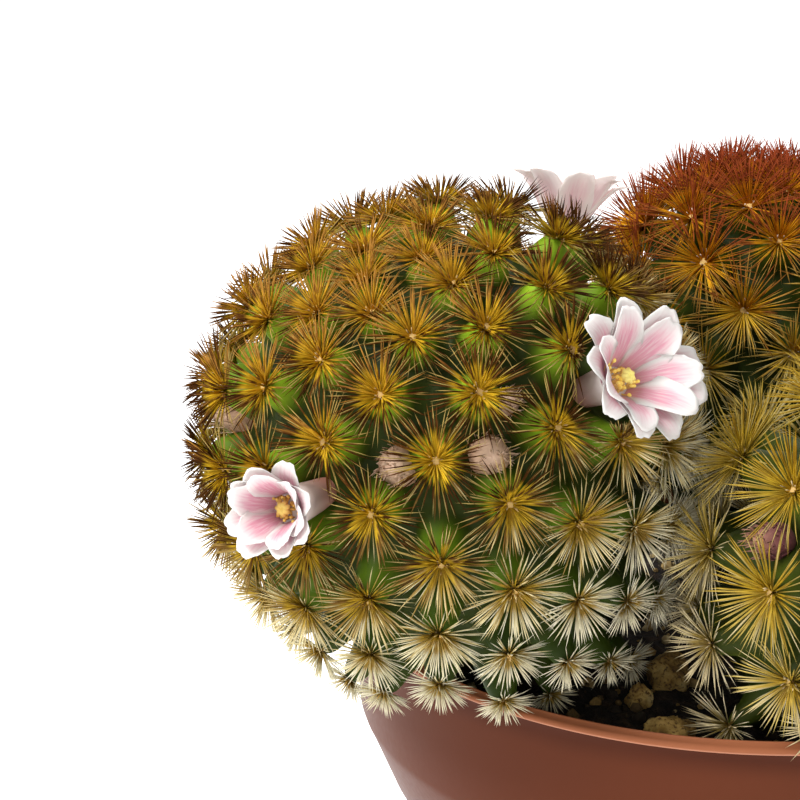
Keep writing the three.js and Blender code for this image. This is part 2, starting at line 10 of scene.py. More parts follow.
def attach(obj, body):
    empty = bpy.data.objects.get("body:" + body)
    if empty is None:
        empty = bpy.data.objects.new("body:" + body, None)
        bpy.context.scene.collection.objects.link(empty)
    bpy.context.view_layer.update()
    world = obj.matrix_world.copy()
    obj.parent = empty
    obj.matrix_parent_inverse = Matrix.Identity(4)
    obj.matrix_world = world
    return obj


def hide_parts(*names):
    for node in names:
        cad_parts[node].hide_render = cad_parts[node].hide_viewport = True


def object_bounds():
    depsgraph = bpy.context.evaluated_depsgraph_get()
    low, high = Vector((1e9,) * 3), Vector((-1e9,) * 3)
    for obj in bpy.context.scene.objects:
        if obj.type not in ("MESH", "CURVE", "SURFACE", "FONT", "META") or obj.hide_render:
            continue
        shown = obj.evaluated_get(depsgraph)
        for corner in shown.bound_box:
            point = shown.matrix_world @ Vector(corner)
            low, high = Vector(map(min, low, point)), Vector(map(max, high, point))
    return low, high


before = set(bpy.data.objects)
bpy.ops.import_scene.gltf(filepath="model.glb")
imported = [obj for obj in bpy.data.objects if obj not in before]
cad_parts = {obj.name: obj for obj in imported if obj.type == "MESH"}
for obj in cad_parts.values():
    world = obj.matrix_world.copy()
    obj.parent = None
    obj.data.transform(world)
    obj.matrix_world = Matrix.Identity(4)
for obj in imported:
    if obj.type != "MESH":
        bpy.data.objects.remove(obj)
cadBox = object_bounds()
mm = 0.001  # lengths below are in millimetres, apart from the studio's and the paints'
scene = bpy.context.scene
print("frame loaded")


# a dictionary whose entries are also read and set as attributes
class Look(dict):
    __getattr__, __setattr__ = dict.__getitem__, dict.__setitem__


# camera, floor and light

camera = Look(place=(-36.5, -194.0, 144.4), pitch=15.3, lens=81.0, sensor=36.0)
studio = Look(floor=8.0, floorColour=(0.93, 0.93, 0.93), floorGlow=0.62, sky=0.5, middle=(0, 0, 0.08))
lamps = {
    "key": Look(place=(-0.55, -0.3, 0.85), size=0.45, watts=14.0),
    "fill": Look(place=(0.8, -0.7, 0.5), size=0.9, watts=1.8),
    "front": Look(place=(-0.25, -1.0, 0.22), size=0.7, watts=2.2),
    "back": Look(place=(0.3, 0.9, 0.8), size=0.8, watts=5.0),
}


def addObject(name, data):
    made = bpy.data.objects.new(name, data)
    scene.collection.objects.link(made)
    return made


def makeCamera():
    lens = bpy.data.cameras.new("camera")
    lens.sensor_width = camera.sensor
    lens.lens = camera.lens
    lens.clip_start = 0.01
    viewer = addObject("camera", lens)
    viewer.location = Vector(camera.place) * mm
    viewer.rotation_euler = (math.radians(90 - camera.pitch), 0, 0)
    scene.camera = viewer
    scene.view_settings.view_transform = "Standard"


makeCamera()


# shader helpers: a wire is one socket, and arithmetic on wires adds Math nodes


class Wire:
    def __init__(self, paint, socket):
        self.paint, self.socket = paint, socket

    def join(self, operation, *others):
        return self.paint.node("Math", {"operation": operation}, enumerate(others))

    def __add__(self, other):
        return self.join("ADD", self, other)

    def __sub__(self, other):
        return self.join("SUBTRACT", self, other)

    def __rsub__(self, other):
        return self.join("SUBTRACT", other, self)

    def __mul__(self, other):
        return self.join("MULTIPLY", self, other)

    __radd__ = __add__
    __rmul__ = __mul__

    def clamped(self):
        return self.join("MINIMUM", self.join("MAXIMUM", self, 0.0), 1.0)


# constants and varying inputs are named as the shader's sockets are, with _ for a space
class Paint:
    def __init__(self, name, **constants):
        self.material = bpy.data.materials.new(name)
        self.material.use_nodes = True
        self.tree = self.material.node_tree
        self.inputs = self.tree.nodes["Principled BSDF"].inputs
        for key, value in constants.items():
            self.inputs[key.replace("_", " ")].default_value = value

    # settings are set first, then the sockets by name or number
    def node(self, kind, settings, sockets=(), output=0):
        made = self.tree.nodes.new("ShaderNode" + kind)
        for key, value in settings.items():
            if key == "stops":
                elements = made.color_ramp.elements
                while len(elements) < len(value):
                    elements.new(0.5)
                for element, (place, *colour) in zip(elements, value):
                    element.position = place
                    element.color = (*colour, 1.0)
            else:
                setattr(made, key, value)
        for key, value in dict(sockets).items():
            self.put(made.inputs[key], value)
        return Wire(self, made.outputs[output])

    def put(self, socket, value):
        if isinstance(value, Wire):
            self.tree.links.new(value.socket, socket)
        elif hasattr(value, "__len__") and len(value) < len(socket.default_value):
            socket.default_value = (*value, 1.0)
        else:
            socket.default_value = value

    def mixed(self, factor, first, second, blend="MIX"):
        settings = {"data_type": "RGBA", "blend_type": blend}
        return self.node("Mix", settings, {0: factor, 6: first, 7: second}, output=2)

    def place(self):
        return self.node("TexCoord", {}, output=3)

    def noise(self, scale, detail, where=None):
        return self.node("TexNoise", {}, {"Vector": where or self.place(), "Scale": scale, "Detail": detail})

    # each stop is its place and its colour: (place, red, green, blue)
    def ramp(self, factor, stops):
        return self.node("ValToRGB", {"stops": stops}, {0: factor})

    def between(self, value, low, high):
        sockets = {"Value": value, "From Min": low, "From Max": high}
        return self.node("MapRange", {"interpolation_type": "SMOOTHSTEP"}, sockets)

    def attribute(self, name):
        return self.node("Attribute", {"attribute_name": name}, output=2)

    def part(self, vector, axis):
        return self.node("SeparateXYZ", {}, {0: vector}, axis)

    # bump is its height, strength and depth in metres
    def finish(self, colour, bump=None, **varying):
        for key, value in {"Base_Color": colour, **varying}.items():
            self.put(self.inputs[key.replace("_", " ")], value)
        if bump:
            sockets = zip(("Height", "Strength", "Distance"), bump)
            self.put(self.inputs["Normal"], self.node("Bump", {}, sockets))
        return self.material


def makeStudio():
    size = studio.floor / 2
    corners = [(-size, -size, 0), (size, -size, 0), (size, size, 0), (-size, size, 0)]
    mesh = bpy.data.meshes.new("floor")
    mesh.from_pydata(corners, [], [(0, 1, 2, 3)])
    white = (1, 1, 1, 1)
    paint = Paint("floor_card", Roughness=0.9, Emission_Strength=studio.floorGlow, Emission_Color=white)
    tone, pale = paint.noise(3.0, 2.0), studio.floorColour
    mesh.materials.append(paint.finish(paint.mixed(tone, pale, [c * 0.99 for c in pale])))
    addObject("floor", mesh)
    world = bpy.data.worlds.new("studio")
    scene.world = world
    world.use_nodes = True
    sky = world.node_tree.nodes["Background"].inputs
    sky["Color"].default_value = white
    sky["Strength"].default_value = studio.sky
    for name, lamp in lamps.items():
        light = bpy.data.lights.new(name, "AREA")
        light.shape = "DISK"
        light.size = lamp.size
        light.energy = lamp.watts
        made = addObject(name, light)
        made.location = lamp.place
        made.rotation_euler = (Vector(studio.middle) - made.location).to_track_quat("-Z", "Y").to_euler()


makeStudio()
print("studio made")


# mesh helpers


def smooth(value):
    t = min(1.0, max(0.0, value))
    return t * t * (3 - 2 * t)


def turnsOf(count):
    return [2 * math.pi * k / count for k in range(count)]


def outward(turn):
    return Vector((math.cos(turn), math.sin(turn), 0))


def flatRing(radius, height, sides):
    return [(radius * math.cos(t), radius * math.sin(t), height) for t in turnsOf(sides)]


def hoop(centre, side, other, radius, sides):
    return [centre + (side * math.cos(t) + other * math.sin(t)) * radius for t in turnsOf(sides)]


# replaced names the frame's nodes that the piece stands for, values maps an attribute to its numbers
def addPiece(name, points, faces, material, replaced=(), values=None, uv=None, rounded=True):
    mesh = bpy.data.meshes.new(name)
    mesh.from_pydata(np.asarray(points, float) * mm, [], faces)
    mesh.polygons.foreach_set("use_smooth", [rounded] * len(mesh.polygons))
    for key, numbers in (values or {}).items():
        layer = mesh.attributes.new(key, "FLOAT", "POINT")
        layer.data.foreach_set("value", np.asarray(numbers, np.float32))
    if uv is not None:
        layer = mesh.uv_layers.new(name="OFBake")
        layer.data.foreach_set("uv", np.asarray(uv, np.float32).ravel())
    mesh.materials.append(material)
    piece = addObject(name, mesh)
    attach(piece, "root")
    if replaced:
        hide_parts(*replaced)
    print(f"{name}: {len(mesh.polygons)} faces")
    return piece


# a mesh that grows part by part
class Lump:
    def __init__(self):
        self.points, self.faces, self.values = [], [], {}

    def add(self, points, faces, **values):
        start = len(self.points)
        self.points.extend(points)
        self.faces.extend(tuple(start + i for i in face) for face in faces)
        for key, numbers in values.items():
            self.values.setdefault(key, []).extend(numbers)

    def piece(self, name, material, slot, replaced=(), rounded=True):
        addPiece(name, self.points, self.faces, material, replaced, self.values, rounded=rounded)


# rows of points, each row a closed loop, joined into a skin with its ends closed
def skin(rows):
    count = len(rows[0])
    points = [p for row in rows for p in row]
    faces = [tuple(reversed(range(count)))]
    for j in range(len(rows) - 1):
        for k in range(count):
            a, b = j * count + k, j * count + (k + 1) % count
            faces.append((a, b, b + count, a + count))
    faces.append(tuple(range(len(points) - count, len(points))))
    return points, faces


# a tube along a line of points
def tube(line, radii, sides):
    rows = []
    for i, point in enumerate(line):
        ahead = (line[min(i + 1, len(line) - 1)] - line[max(i - 1, 0)]).normalized()
        side = ahead.orthogonal().normalized() if i == 0 else (side - ahead * side.dot(ahead)).normalized()
        rows.append(hoop(point, side, ahead.cross(side), radii[i], sides))
    return skin(rows)


def placedAlong(points, start, direction):
    turn = Vector((0, 0, 1)).rotation_difference(direction)
    return [start + turn @ Vector(p) for p in points]


# the plant's growth, as in the solids

soilTop = 66.4
pot = Look(height=70.0, bead=42.5, collar=41.7, wall=1.2)
growth = Look(
    divergence=math.radians(137.43), lowest=0.1, steepest=-0.3, youngLoss=0.45, steps=400, hexagon=0.866,
    rootMargin=2.7, tipMargin=1.4, soilMargin=0.9, shortest=1.3, crowded=0.8, guestMargin=1.7,
)
stems = {
    "stem_main": Look(
        foot=(-23.4, -10.7), apex=(-36.6, -31.5, 108.9), radius=16.4, neck=5.6, waist=0.647, tubercle=6.8,
        spacing=8.2, crowding=0.33, young=0.69, spine=4.6, phase=2.76, turning=-1,
    ),
    "stem_front": Look(
        foot=(3.6, -25.6), apex=(9.7, -43, 96.8), radius=10.2, neck=6.2, waist=0.696, tubercle=5.7,
        spacing=10.3, crowding=0.2, young=0.7, spine=5.6, phase=5.57, turning=1,
    ),
    "stem_rear": Look(
        foot=(5.8, 16.1), apex=(6.1, 14.3, 111.1), radius=11.4, neck=7.5, waist=0.723, tubercle=5.7,
        spacing=8.4, crowding=0.45, young=0.63, spine=4.8, phase=1.57, turning=1,
    ),
    "stem_right": Look(
        foot=(26.5, -2), apex=(36.3, -8, 97.5), radius=10, neck=7.2, waist=0.66, tubercle=5,
        spacing=9.6, crowding=0.35, young=0.7, spine=4.8, phase=2.6, turning=-1,
    ),
    "stem_pup": Look(
        foot=(-11, 25.5), apex=(-18.4, 26.3, 88), radius=6.5, neck=5, waist=0.676, tubercle=4,
        spacing=8.3, crowding=0.3, young=0.7, spine=4.2, phase=1.2, turning=1,
    ),
}
# petal and open say what room the solids leave free around a flower, bloom says how its petals look
flowers = {
    "flower_right": Look(
        throat=(-17.4, -38.8, 103.6), facing=(0.5, -0.74, 0.47), petal=7.4, open=56, outer=9, inner=7,
        bloom=Look(petal=7.9, width=3.8, open=52, inner=0.87, ruffle=0.07, deep=0.0),
    ),
    "flower_left": Look(
        throat=(-46.2, -43.4, 93.4), facing=(-0.4, -0.89, 0.2), petal=5.8, open=40, outer=8, inner=6,
        bloom=Look(petal=5.9, width=3.5, open=38, inner=0.62, ruffle=0.2, deep=0.7),
    ),
    "flower_back": Look(
        throat=(-19.6, -11.5, 112.3), facing=(0.12, 0.2, 0.97), petal=7.4, open=55, outer=8, inner=6,
        bloom=Look(petal=8.5, width=3.7, open=44, inner=0.85, ruffle=0.1, deep=0.2),
    ),
}
buds = {
    "bud_middle": Look(azimuth=-80, elevation=12, reach=22, radius=2),
    "bud_centre_left": Look(azimuth=-104, elevation=9, reach=22, radius=2),
    "bud_far_left": Look(azimuth=-176, elevation=8, reach=23, radius=2),
    "bud_upper": Look(azimuth=-74, elevation=26, reach=21, radius=1.5),
    "bud_front": Look(stem="stem_front", azimuth=-154, elevation=12, reach=15, radius=1.8),
}
guestDepth, throatRadius, throatRoom = 1.2, 1.9, 2.3

for stem in stems.values():
    stem.base = Vector((*stem.foot, soilTop))
    tip = Vector(stem.apex)
    stem.height = (tip - stem.base).length
    stem.axis = (tip - stem.base).normalized()
    stem.side = Vector((0, 1, 0)).cross(stem.axis).normalized()
    stem.depth = stem.axis.cross(stem.side)
    stem.middle = stem.base + stem.axis * stem.height * stem.waist

# a guest, flower or bud, grows on the main stem unless it names another
for guest in [*flowers.values(), *buds.values()]:
    stem = stems[guest.setdefault("stem", "stem_main")]
    if "throat" in guest:
        guest.at, guest.room = Vector(guest.throat), throatRoom
        guest.looks = Vector(guest.facing).normalized()
        out = (guest.at - stem.middle).normalized()
    else:
        azimuth, elevation = math.radians(guest.azimuth), math.radians(guest.elevation)
        level = math.cos(elevation)
        out = Vector((level * math.cos(azimuth), level * math.sin(azimuth), math.sin(elevation)))
        guest.at, guest.room = stem.middle + out * (guest.reach - guest.radius), guest.radius
        guest.looks = out
    guest.root = stem.middle + out * (stem.radius - guestDepth)


def inStemFrame(stem, radius, angle, height):
    across = stem.side * math.cos(angle) + stem.depth * math.sin(angle)
    return stem.base + across * radius + stem.axis * height


# the body's radius, height and slope at a share of the way from its foot to its apex
def outline(stem, share):
    waistHeight = stem.height * stem.waist
    dome = stem.height - waistHeight
    if share < 0.5:
        bend = math.pi * share
        swell = stem.radius - stem.neck
        rise, spread = 2 * waistHeight, swell * math.pi * math.cos(bend)
        length = math.hypot(rise, spread)
        return stem.neck + swell * math.sin(bend), rise * share, -spread / length
    bend = math.pi * (share - 0.5)
    across, along = math.cos(bend), math.sin(bend)
    length = math.hypot(across * dome, along * stem.radius)
    return stem.radius * across, waistHeight + dome * along, along * stem.radius / length


def youth(stem, share):
    return smooth((share - stem.young) / (1 - stem.young))


def tipAt(stem, share):
    radius, height, slope = outline(stem, share)
    upward = max(slope, growth.steepest)
    length = stem.tubercle * (1 - growth.youngLoss * youth(stem, share))
    return radius + length * math.sqrt(1 - upward * upward), height + length * upward


# the share and angle of each tubercle, from the apex down, each with the hexagon of room that it needs
def spiral(stem):
    found, count = [], 0.0
    before = tipAt(stem, 1)
    for i in range(1, int(growth.steps * (1 - growth.lowest))):
        share = 1 - i / growth.steps
        now = tipAt(stem, share)
        step = math.hypot(now[0] - before[0], now[1] - before[1])
        pitch = stem.spacing * (1 - stem.crowding * youth(stem, share))
        count += 2 * math.pi * max(now[0], 0.2) * step / (growth.hexagon * pitch * pitch)
        while count >= len(found) + 0.6:
            found.append((share, stem.phase + stem.turning * growth.divergence * len(found)))
        before = now
    return found


def soilHeight(x, y):
    rough = math.sin(x * 0.61 + 1.3) * math.cos(y * 0.53) + 0.5 * math.sin(x * 1.37 - y * 1.13)
    edge = smooth((math.hypot(x, y) - 30) / 9)
    return soilTop + 0.45 * rough - 0.5 * edge


def nearLine(point, start, end):
    span = end - start
    along = min(1.0, max(0.0, (point - start).dot(span) / span.length_squared))
    return (point - start - span * along).length


# whether a place, or each of an array of them, is in the pot's wall or the soil or too near
def grounded(radius, height, gap, soilGap):
    wall = (radius > pot.collar - pot.wall - gap) & (radius < pot.bead + gap) & (height < pot.height + gap)
    return wall | ((radius <= pot.collar) & (height < soilTop + soilGap))


def pointGrounded(point, margin):
    return grounded(math.hypot(point.x, point.y), point.z, margin, growth.soilMargin + margin)


def beyondNeighbour(stem, point, margin):
    for other in stems.values():
        if other is stem:
            continue
        apart = other.middle - stem.middle
        own, theirs = stem.radius + stem.tubercle, other.radius + other.tubercle
        border = own + (apart.length - own - theirs) * own / (own + theirs)
        if (point - stem.middle).dot(apart) / apart.length > border - margin:
            return True
    return False


# how far the petals spread, and the height over which they open to that
def bowlOf(flower):
    return flower.petal * math.sin(math.radians(flower.open)), 0.62 * flower.petal


def insideFlower(flower, point, margin):
    offset = point - flower.at
    height = offset.dot(flower.looks)
    radius = math.sqrt(max(0.0, offset.length_squared - height * height))
    if -0.9 < height < flower.petal + 2:
        spread, rise = bowlOf(flower)
        bowl = throatRadius + (min(1, (height + 0.8) / rise) * spread if height > 0 else 0)
        return radius < bowl + margin
    return nearLine(point, flower.root, flower.at) < throatRadius + margin


def blocked(stem, point, margin):
    return (
        pointGrounded(point, margin) or beyondNeighbour(stem, point, margin)
        or any(insideFlower(flower, point, margin) for flower in flowers.values())
        or any(nearLine(point, bud.root, bud.at) < bud.radius + margin for bud in buds.values())
    )


# each tubercle: its root on the body, its tip, its share of the height, where it points, and the part
# of its full length that has room
def tubercles(name):
    stem, found = stems[name], []
    guests = [g for g in [*flowers.values(), *buds.values()] if g.stem == name]
    rootMargin, tipMargin = growth.rootMargin, growth.tipMargin
    for share, angle in spiral(stem):
        radius, height, _ = outline(stem, share)
        root = inStemFrame(stem, radius, angle, height)
        tipRadius, tipHeight = tipAt(stem, share)
        tip = inStemFrame(stem, tipRadius, angle, tipHeight)
        if any((root - guest.root).length < growth.crowded for guest in guests):
            continue
        for guest in guests:
            near, room = nearLine(tip, guest.root, guest.at), guest.room + growth.guestMargin
            if near < room:
                line = (guest.at - guest.root).normalized()
                away = tip - guest.root
                tip = tip + (away - line * away.dot(line)).normalized() * (room - near)
        for part in (1, 0.8, 0.6, 0.45):
            end = root.lerp(tip, part)
            margins = {k: rootMargin + (tipMargin - rootMargin) * k for k in (0.25, 0.6)}
            low = any(pointGrounded(root.lerp(end, k), margin) for k, margin in margins.items())
            if not low and not blocked(stem, end, growth.shortest):
                points = (end - root).normalized()
                found.append(Look(root=root, tip=end, share=share, points=points, part=part))
                break
    return found


# flesh: each tubercle is a cone that rises from its own cell of the body's convex hull

fleshLook = Look(
    rings=(0.03, 0.12, 0.26, 0.42, 0.58, 0.73, 0.85, 0.93, 0.98, 1.0), reach=0.4, girth=1.9,
    areole=0.85, axil=0.7, fullness=(0.38, 0.56), fullFrom=(0.42, 0.8), youngLoss=0.3, flare=0.7,
    footShare=2.4, taper=2.2, cap=(0.8, 0.215), snug=0.93, footSides=12, footDepth=6.0, spineTop=0.72,
)


# the points next to each point on the convex hull of all, in order around it
def neighboursOf(roots):
    hull = bmesh.new()
    for i, root in enumerate(roots):
        hull.verts.new(root).index = i
    bmesh.ops.convex_hull(hull, input=hull.verts[:])
    following = {i: {} for i in range(len(roots))}
    for face in hull.faces:
        a, b, c = (v.index for v in face.verts)
        for i, j, k in ((a, b, c), (b, c, a), (c, a, b)):
            following[i][j] = k
    hull.free()
    rings = {}
    for i, after in following.items():
        if len(after) > 2:
            rings[i] = [next(iter(after))]
            while len(rings[i]) < len(after):
                rings[i].append(after[rings[i][-1]])
    return rings


# the surface points shared by neighbouring cells are kept once, under the cells' numbers
def makeFlesh(name, grown, material):
    stem, look = stems[name], fleshLook
    slope = (stem.radius - stem.neck) * math.pi / (2 * stem.height * stem.waist)
    footRadius = stem.neck - slope * look.footDepth
    feet = [inStemFrame(stem, footRadius, turn, -look.footDepth) for turn in turnsOf(look.footSides)]
    seats = []
    for cone in grown:
        full = float(np.interp(cone.share, look.fullFrom, look.fullness))
        seats.append(cone.root.lerp(cone.tip, full))
    seats += feet
    points, faces, rise, age, number = [], [], [], [], {}

    def place(key, point, height, old):
        if key not in number:
            number[key] = len(points)
            points.append(point)
            rise.append(height)
            age.append(old)
        return number[key]

    def sunk(point):
        along = (point - stem.base).dot(stem.axis)
        spine = stem.base + stem.axis * min(along, look.spineTop * stem.height)
        return point + (spine - point).normalized() * look.axil

    for i, ring in neighboursOf([cone.root for cone in grown] + feet).items():
        cone = grown[i] if i < len(grown) else None
        old = 1 - cone.share if cone else 1.0
        border = []
        for j, k in zip(ring, ring[1:] + ring[:1]):
            middle = seats[i].lerp(seats[j], 0.5)
            centre = (seats[i] + seats[j] + seats[k]) / 3
            border.append(place(tuple(sorted((i, j))), sunk(middle), 0, old))
            border.append(place(tuple(sorted((i, j, k))), sunk(centre), 0, old))
        if not cone:
            faces.append(tuple(border))
            continue
        pointing = cone.points
        offsets = [points[b] - seats[i] for b in border]
        circle = [(o - pointing * o.dot(pointing)).normalized() for o in offsets]
        size = 1 - look.youngLoss * youth(stem, cone.share)
        most = look.reach * stem.spacing * size
        below = border
        for k, s in enumerate(look.rings):
            foot = min(1.0, s * look.footShare)
            girth = (look.girth + (look.areole - look.girth) * s ** look.taper) * size
            cap = math.sqrt(max(0.0, 1 - max(0.0, (s - look.cap[0]) / look.cap[1]) ** 2))
            centre = seats[i].lerp(cone.tip, s)
            row = []
            for m, offset in enumerate(offsets):
                flat = offset * min(1.0, most / max(offset.length, 1e-6)) * look.snug
                point = centre + flat.lerp(circle[m] * girth, foot ** look.flare) * cap
                row.append(place((i, "ring", k, m), point, s, old))
            for m in range(len(row)):
                n = (m + 1) % len(row)
                faces.append((below[m], below[n], row[n], row[m]))
            below = row
        faces.append(tuple(below))
    values = {"rise": rise, "age": age}
    addPiece(name + "_flesh", points, faces, material, (name,), values)


# needles: most is the largest number of rosettes in one piece, above which the first ones go apart

rosettes = Look(most=110, first=90)
clearance = Look(rigid=0.2, soil=0.4, box=0.1)
needleShape = Look(waist=0.7, waistBend=0.49, waistWidth=0.8)
# sunSide is the side the light comes from; the needles' tones are shifted by it as a painted light
sunSide = Vector((-0.8, 0.25, 0.3)).normalized()


# each needle has a three-cornered foot, a waist and a point, and its uv map runs from foot to point in v
def needleParts(starts, aims, lengths, widths, bends, tones):
    count, waist = len(starts), needleShape.waist
    helper = np.where(np.abs(aims[:, 2:3]) < 0.9, [[0, 0, 1]], [[1, 0, 0]])
    side = np.cross(aims, helper)
    side /= np.linalg.norm(side, axis=1, keepdims=True)
    other = np.cross(aims, side)
    points = np.empty((count, 7, 3))
    levels = ((0.0, 0.0, 1.0), (waist, needleShape.waistBend, needleShape.waistWidth))
    for level, (along, bent, thick) in enumerate(levels):
        centre = starts + aims * (lengths * along)[:, None] + bends * bent
        for k, turn in enumerate(turnsOf(3)):
            edge = side * math.cos(turn) + other * math.sin(turn)
            points[:, 3 * level + k] = centre + edge * (widths * thick)[:, None]
    points[:, 6] = starts + aims * lengths[:, None] + bends
    pattern = [(0, 2, 1), (0, 1, 4, 3), (1, 2, 5, 4), (2, 0, 3, 5), (3, 4, 6), (4, 5, 6), (5, 3, 6)]
    base = [(0, 0), (1, 0), (0.5, 0.03)]
    sides = [(0, 0), (1, 0), (1, waist), (0, waist)] * 3
    ends = [(0, waist), (1, waist), (0.5, 1)] * 3
    shape = np.array(base + sides + ends)
    uv = np.empty((count, len(shape), 2))
    uv[:, :, 0] = tones[:, None] + shape[None, :, 0] * 0.008
    uv[:, :, 1] = shape[None, :, 1]
    faces = [tuple(7 * n + i for i in face) for n in range(count) for face in pattern]
    return points.reshape(-1, 3), faces, uv.reshape(-1, 2)


# how far each needle may reach before it meets the pot, the soil, a flower or the frame's box
def clearReach(starts, reaches):
    kept, gap = np.ones(len(starts)), clearance.rigid
    low, high = (np.array(corner) / mm for corner in cadBox)
    for part in np.linspace(1.0, 0.3, 8):
        ends = starts + reaches * part
        hit = grounded(np.hypot(ends[:, 0], ends[:, 1]), ends[:, 2], gap, clearance.soil)
        for flower in flowers.values():
            offset = ends - np.array(flower.at)
            up = offset @ np.array(flower.looks)
            across = np.sqrt(np.maximum(0, (offset ** 2).sum(1) - up ** 2))
            spread, rise = bowlOf(flower)
            bowl = throatRadius + np.clip((up + 0.6) / rise, 0, 1) * spread
            hit |= (up > -0.8) & (up < flower.petal) & (across < bowl + gap)
        hit |= ((ends < low + clearance.box) | (ends > high - clearance.box)).any(1)
        kept = np.where(hit, part - 0.1, kept)
    return np.maximum(kept, 0.12)


# the tone runs over u, from the youngest to the oldest needles in each kind's own range of tones
def makeNeedles(name, grown, style, material, seed, ending=""):
    if len(grown) > rosettes.most:
        makeNeedles(name, grown[:rosettes.first], style, material, seed, "_upper")
        makeNeedles(name, grown[rosettes.first:], style, material, seed, "_lower")
        return
    stem, sets = stems[name], []
    rng = np.random.default_rng(seed + len(ending))
    for cone in grown:
        pointing, tip, old = np.array(cone.points), np.array(cone.tip), 1 - cone.share
        worn = smooth((old - style.wornFrom) / style.wornOver)
        size = (1 - style.shrink * youth(stem, cone.share)) * (0.75 + 0.25 * cone.part)
        size *= (1 - style.wear * worn) * (1 + style.leftward * max(0.0, -cone.points.x))
        side = np.array(cone.points.orthogonal().normalized())
        other = np.cross(pointing, side)
        upward = np.array(stem.axis) - pointing * float(stem.axis.dot(cone.points))
        upward /= np.linalg.norm(upward) + 1e-9
        for kind in ("inner", "outer", "wool"):
            row, stiff = style[kind], kind != "wool"
            count = int(row.count * (1 - (style.thinning * worn if stiff else 0)))
            turn = np.arange(count) + rng.uniform(-style.jitter, style.jitter, count)
            turn = 2 * np.pi * turn / count * row.wraps
            tilt = np.radians(rng.uniform(*row.tilt, count))
            around = side * np.cos(turn)[:, None] + other * np.sin(turn)[:, None]
            aim = around * np.sin(tilt)[:, None] + pointing * np.cos(tilt)[:, None]
            length = stem.spine * size * rng.uniform(*row.length, count)
            length *= 0.8 + 0.28 * np.sin(tilt) ** 2 if stiff else 1
            ring = row.ring * size * np.sqrt(rng.uniform(0.1, 1, count))
            start = tip - pointing * 0.15 + around * ring[:, None]
            width = np.full(count, row.width) * (0.8 + 0.2 * size)
            lean = around * np.cos(tilt)[:, None] - pointing * np.sin(tilt)[:, None]
            bend = lean * (length * rng.uniform(-0.03, row.bend, count))[:, None]
            bend = bend + rng.normal(0, style.scatter, (count, 3)) * length[:, None]
            low, high = row.tones
            if stiff:
                # painted light: a rosette's tone shifts with how far it faces the light's side
                aged = np.interp(old, *style.ageing) - style.sunny * float(sunSide.dot(cone.points))
                aged = aged - style.upward * (around @ upward) + rng.normal(0, style.mottle, count)
                aged = np.clip(aged, 0, 1)
                tone = low + aged * (high - low)
            else:
                tone = rng.uniform(low, high, count)
            sets.append((start, aim, length, width, bend, tone))
    starts, aims, lengths, widths, bends, tones = map(np.concatenate, zip(*sets))
    kept = clearReach(starts, aims * lengths[:, None] + bends)
    points, faces, uv = needleParts(starts, aims, lengths * kept, widths, bends * kept[:, None], tones)
    addPiece(name + "_needles" + ending, points, faces, material, uv=uv)


print("helpers ready")


# paints of the stems

woolTone = (0.5, 0.33, 0.11)


# rise runs up a tubercle from its axil to its areole, age from the apex down
def fleshPaint(name, young, grown, old):
    paint = Paint(name, Subsurface_Weight=0.12, Subsurface_Scale=0.002,
                  Subsurface_Radius=(0.4, 1.0, 0.2), Specular_IOR_Level=0.1)
    rise, age, patchy = paint.attribute("rise"), paint.attribute("age"), paint.noise(240.0, 4.0)
    skinTone = paint.ramp(age, [(0.16, *young), (0.36, *grown), (0.6, *old)])
    # painted shade: the flesh darkens to near black towards the foot of each tubercle, in the axils between
    # them
    shaded = paint.mixed(paint.between(rise, 0.0, 0.6), (0.006, 0.012, 0.002), skinTone)
    mottled = paint.mixed(patchy * 0.5, shaded, paint.mixed(0.3, shaded, (0.2, 0.26, 0.01)))
    colour = paint.mixed(paint.between(rise, 0.95, 0.99), mottled, woolTone)
    pores = paint.noise(2600.0, 2.0)
    return paint.finish(colour, bump=(pores + patchy * 2.0, 0.25, 0.0001), Roughness=0.4 + patchy * 0.25)


# foot and point are colours over the tones, and start is how far along the point's colour begins
def needlePaint(name, foot, point, start):
    paint = Paint(name, Roughness=0.6, Specular_IOR_Level=0.02)
    drawn = paint.node("UVMap", {"uv_map": "OFBake"})
    tone, along = paint.part(drawn, 0), paint.part(drawn, 1)
    footTone, pointTone = paint.ramp(tone, foot), paint.ramp(tone, point)
    begins = paint.ramp(tone, [(place, share, share, share) for place, share in start])
    colour = paint.mixed(paint.between(along - begins, -0.09, 0.13), footTone, pointTone)
    streaked = paint.mixed(1.0, colour, (0.6, 0.55, 0.5), "MULTIPLY")
    return paint.finish(paint.mixed(paint.noise(900.0, 2.0) * 0.3, colour, streaked))


